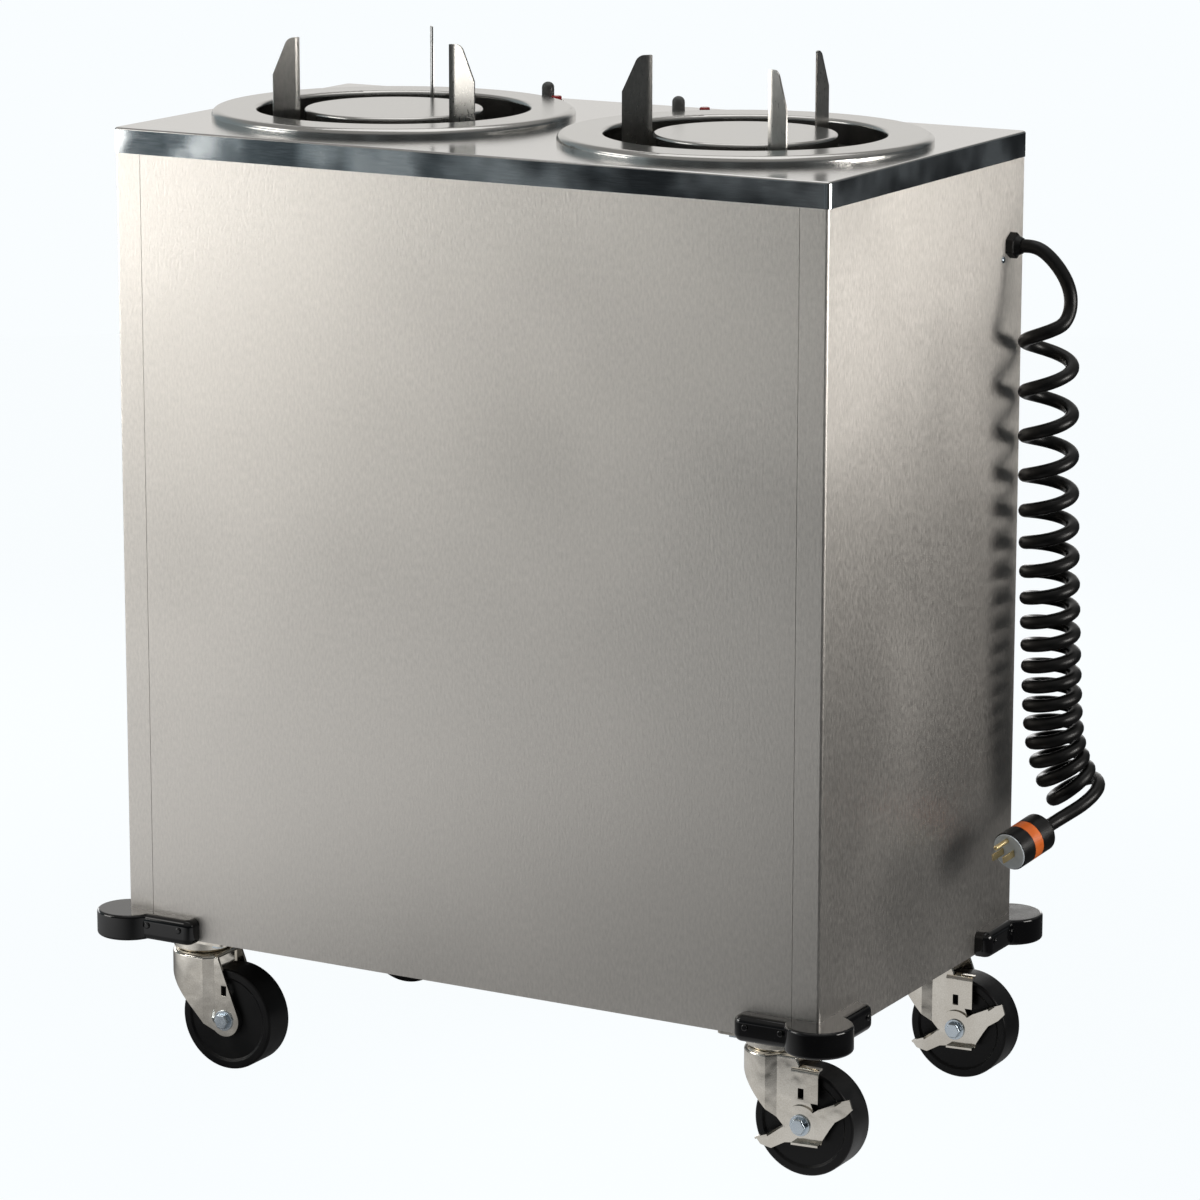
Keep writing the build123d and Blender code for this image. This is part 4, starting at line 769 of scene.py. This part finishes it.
# ------------------------------------------------------------------- cord
@dataclass
class PowerCord:
    """The coiled cord with the gland it leaves by and the plug on its end.

    Sizes are in metres. Turns are counted down from the coil's top, and the cord enters it
    the early part of a turn above that. Each turn drops by a pitch that closes from its first
    value to its last, and the coil leans aside by the drift and, lower down, the bend.
    """

    diameter: float = 0.0131
    length: float = 2.78
    mouth: Point = (0.3925, 0.1766, 0.8214)
    axis: tuple[float, float] = (0.4215, 0.1760)
    radius: float = 0.0226
    turns: float = 17.5
    early: float = 0.25
    top: float = 0.7334
    facing: float = 29.08
    pitch_top: float = 0.05135
    pitch_close: float = 0.0130
    decay: float = 5.95
    drift: float = 0.0009
    bend: float = 0.022
    bend_from: float = 11.5
    bend_over: float = 6.0
    steps: int = 14
    order: int = 3
    resolution: int = 5
    smoothness: int = 6
    lead: tuple[Point, ...] = (
        (0.3925, 0.1766, 0.8214), (0.4010, 0.1766, 0.8222), (0.4130, 0.1766, 0.8190),
        (0.4260, 0.1766, 0.8085), (0.4370, 0.1766, 0.7945), (0.4428, 0.1766, 0.7805),
        (0.4442, 0.1750, 0.7680), (0.4440, 0.1695, 0.7585), (0.4420, 0.1620, 0.7515))
    tail: tuple[Point, ...] = (
        (0.4790, 0.1890, 0.3028), (0.4800, 0.1740, 0.2970), (0.4745, 0.1590, 0.2895),
        (0.4660, 0.1480, 0.2830), (0.4600, 0.1400, 0.2785), (0.4565, 0.1310, 0.2758),
        (0.4542, 0.1227, 0.2737))

    def coil_place(self, turn: float) -> Point:
        """Find a control point of the coil.

        Args:
            turn: how many turns down the coil it lies.

        Returns:
            The point, a little outside the coil so that the spline runs at its true radius.
        """
        facing = math.radians(self.facing)
        aside = Vector((math.cos(facing), math.sin(facing), 0.0))
        behind = Vector((-math.sin(facing), math.cos(facing), 0.0))
        closing = math.exp(-turn / self.decay)
        opening = self.pitch_top - self.pitch_close
        height = self.top - self.pitch_close * turn - opening * self.decay * (1 - closing)
        past = max(0.0, turn - self.bend_from) / self.bend_over
        offset = self.drift * turn + self.bend * past ** 3
        slope = self.drift + 3 * self.bend * past ** 2 / self.bend_over
        tilt = math.atan2(slope, self.pitch_close + opening * closing)
        across = aside * math.cos(tilt) + Vector((0.0, 0.0, 1.0)) * math.sin(tilt)
        angle = math.pi * (1 - 2 * turn)
        reach = self.radius / math.cos(math.pi / self.steps)
        centre = Vector((*self.axis, height)) + aside * offset
        return tuple(centre + (across * math.cos(angle) + behind * math.sin(angle)) * reach)

    def make_cord(self) -> bpy.types.Object:
        """Make the cord as one smooth spline from the gland to the plug.

        Returns:
            The cord.
        """
        count = round((self.turns + self.early) * self.steps)
        coil = [self.coil_place(-self.early + index / self.steps) for index in range(count + 1)]
        points = [*self.lead, *coil, *self.tail]
        data = bpy.data.curves.new("power_cord", "CURVE")
        data.dimensions = "3D"
        data.bevel_depth = self.diameter / 2
        data.bevel_resolution = self.smoothness
        data.resolution_u = self.resolution
        data.use_fill_caps = True
        spline = data.splines.new("NURBS")
        spline.points.add(len(points) - 1)
        for knot, point in zip(spline.points, points):
            knot.co = (*point, 1.0)
        spline.order_u = self.order
        spline.use_endpoint_u = True
        cord = bpy.data.objects.new("power_cord", data)
        bpy.context.scene.collection.objects.link(cord)
        data.materials.append(CORD_BLACK.material())
        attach(cord, "cabinet")
        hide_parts("cord_lead", "cord_coil", "cord_tail")
        LOG.info("cord made with %d points", len(points))
        return cord

    def make(self) -> None:
        """Make the cord, dress the plug and declare what hangs together."""
        cord = self.make_cord()
        dressing = Dressing(bevel=0.0004, sharp=40.0)
        dressing.dress(["plug_body"], PLUG_BLACK)
        dressing.dress(["plug_band"], BAND_ORANGE)
        dressing.dress(["plug_face"], FACE_GREY)
        dressing.dress(["plug_blades"], BRASS, bevel=0.0002)
        dressing.dress(["cord_gland"], CORD_BLACK)


# ------------------------------------------------------------------- body
@dataclass
class Cabinet:
    """The sheet-metal body, its deck and its bumpers.

    The apron's faces lie within its skin, in metres, of half the deck's length or depth, and
    the part of their normals that points up or down is under a limit.
    """

    panels: tuple[str, ...] = ("front_panel", "rear_panel", "left_side_panel", "right_side_panel")
    inside: tuple[str, ...] = ("base_pan", "corner_posts", "caster_channels", "terminal_box")
    wells: tuple[str, ...] = ("heating_elements", "well_tube_left", "well_tube_right", "carriage_left",
                              "carriage_right", "lift_springs_left", "lift_springs_right")
    half_deck: tuple[float, float] = (0.381, 0.2085)
    apron_skin: float = 0.001
    upward_limit: float = 0.3

    def make(self) -> None:
        """Dress the body's sheets and what they hold."""
        dressing = Dressing(bevel=0.0004, sharp=30.0)
        dressing.dress(self.panels, PANEL_STEEL)
        dressing.dress(["top_deck"], DECK_STEEL)
        # The apron's faces get their own steel, with painted reflections in dark and pale patches.
        self.paint_apron_reflections(bpy.data.objects["top_deck_dressed"])
        dressing.dress(["corner_bumpers", "bumper_rivets"], BUMPER_BLACK, bevel=0.0)
        dressing.dress(["ground_screw"], ZINC, bevel=0.0)
        dressing.paint(self.inside, HIDDEN_STEEL)
        # The parts inside the wells get the darkened steel, as painted shade.
        dressing.paint(self.wells, WELL_SHADE_STEEL)

    def paint_apron_reflections(self, deck: bpy.types.Object) -> None:
        """Give the deck's upright outer faces the smoother finish of its rolled apron, whose dark and pale
        patches are painted reflections of the room.

        Args:
            deck: the dressed deck.
        """
        deck.data.materials.append(APRON_PAINTED_REFLECTIONS.material())
        for face in deck.data.polygons:
            outside = any(abs(place) > half - self.apron_skin
                          for place, half in zip(face.center, self.half_deck))
            if outside and abs(face.normal.z) < self.upward_limit:
                face.material_index = 1


@dataclass
class PlateWell:
    """One of the two wells, with its ring, guides and carrier."""

    side: str

    def make(self) -> None:
        """Dress the well's shown pieces."""
        dressing = Dressing(bevel=0.0003, sharp=30.0)
        ring = Metal(f"ring_steel_{self.side}", (0.62, 0.61, 0.59), (0.52, 0.51, 0.49), 0.2, 0.05,
                     Grain.TURNED, 0.03, centre=(WELL_CENTRES[self.side], 0.0, 0.0))
        dressing.dress([f"collar_{self.side}", f"carrier_disc_{self.side}"], ring, bevel=0.0)
        dressing.dress([f"plate_guides_{self.side}"], BLADE_STEEL)


@dataclass
class Controls:
    """The toggle switches and pilot lights on the deck."""

    def make(self) -> None:
        """Dress the switches and lights."""
        dressing = Dressing(bevel=0.0002, sharp=35.0)
        dressing.dress(["toggle_boot_left", "toggle_boot_right"], BOOT_GREY, bevel=0.0)
        dressing.dress(["toggle_nuts", "pilot_bezels"], BRIGHT_STEEL)
        dressing.dress(["toggle_switches"], PLUG_BLACK)
        dressing.dress(["pilot_lenses"], LENS_RED)


@dataclass
class Casters:
    """The four swivel casters and the brakes on two of them."""

    places: tuple[str, ...] = ("front_left", "front_right", "rear_left", "rear_right")
    braked: tuple[str, ...] = ("front_right", "rear_right")

    def make(self) -> None:
        """Dress every caster."""
        dressing = Dressing(bevel=0.0004, sharp=32.0)
        dressing.dress(["caster_plates", "king_pins"], NICKEL)
        dressing.dress(["caster_bolts"], ZINC)
        for name in self.places:
            dressing.dress([f"fork_{name}"], NICKEL)
            dressing.dress([f"axle_{name}"], ZINC)
            dressing.dress([f"wheel_{name}"], WHEEL_BLACK, bevel=0.0006)
        for name in self.braked:
            dressing.dress([f"brake_lever_{name}", f"brake_bracket_{name}"], NICKEL)


def main() -> None:
    """Build the studio and every sub-assembly in order."""
    Studio().make()
    PowerCord().make()
    Cabinet().make()
    for side in WELL_CENTRES:
        PlateWell(side).make()
    Controls().make()
    Casters().make()


if __name__ == "__main__":
    main()
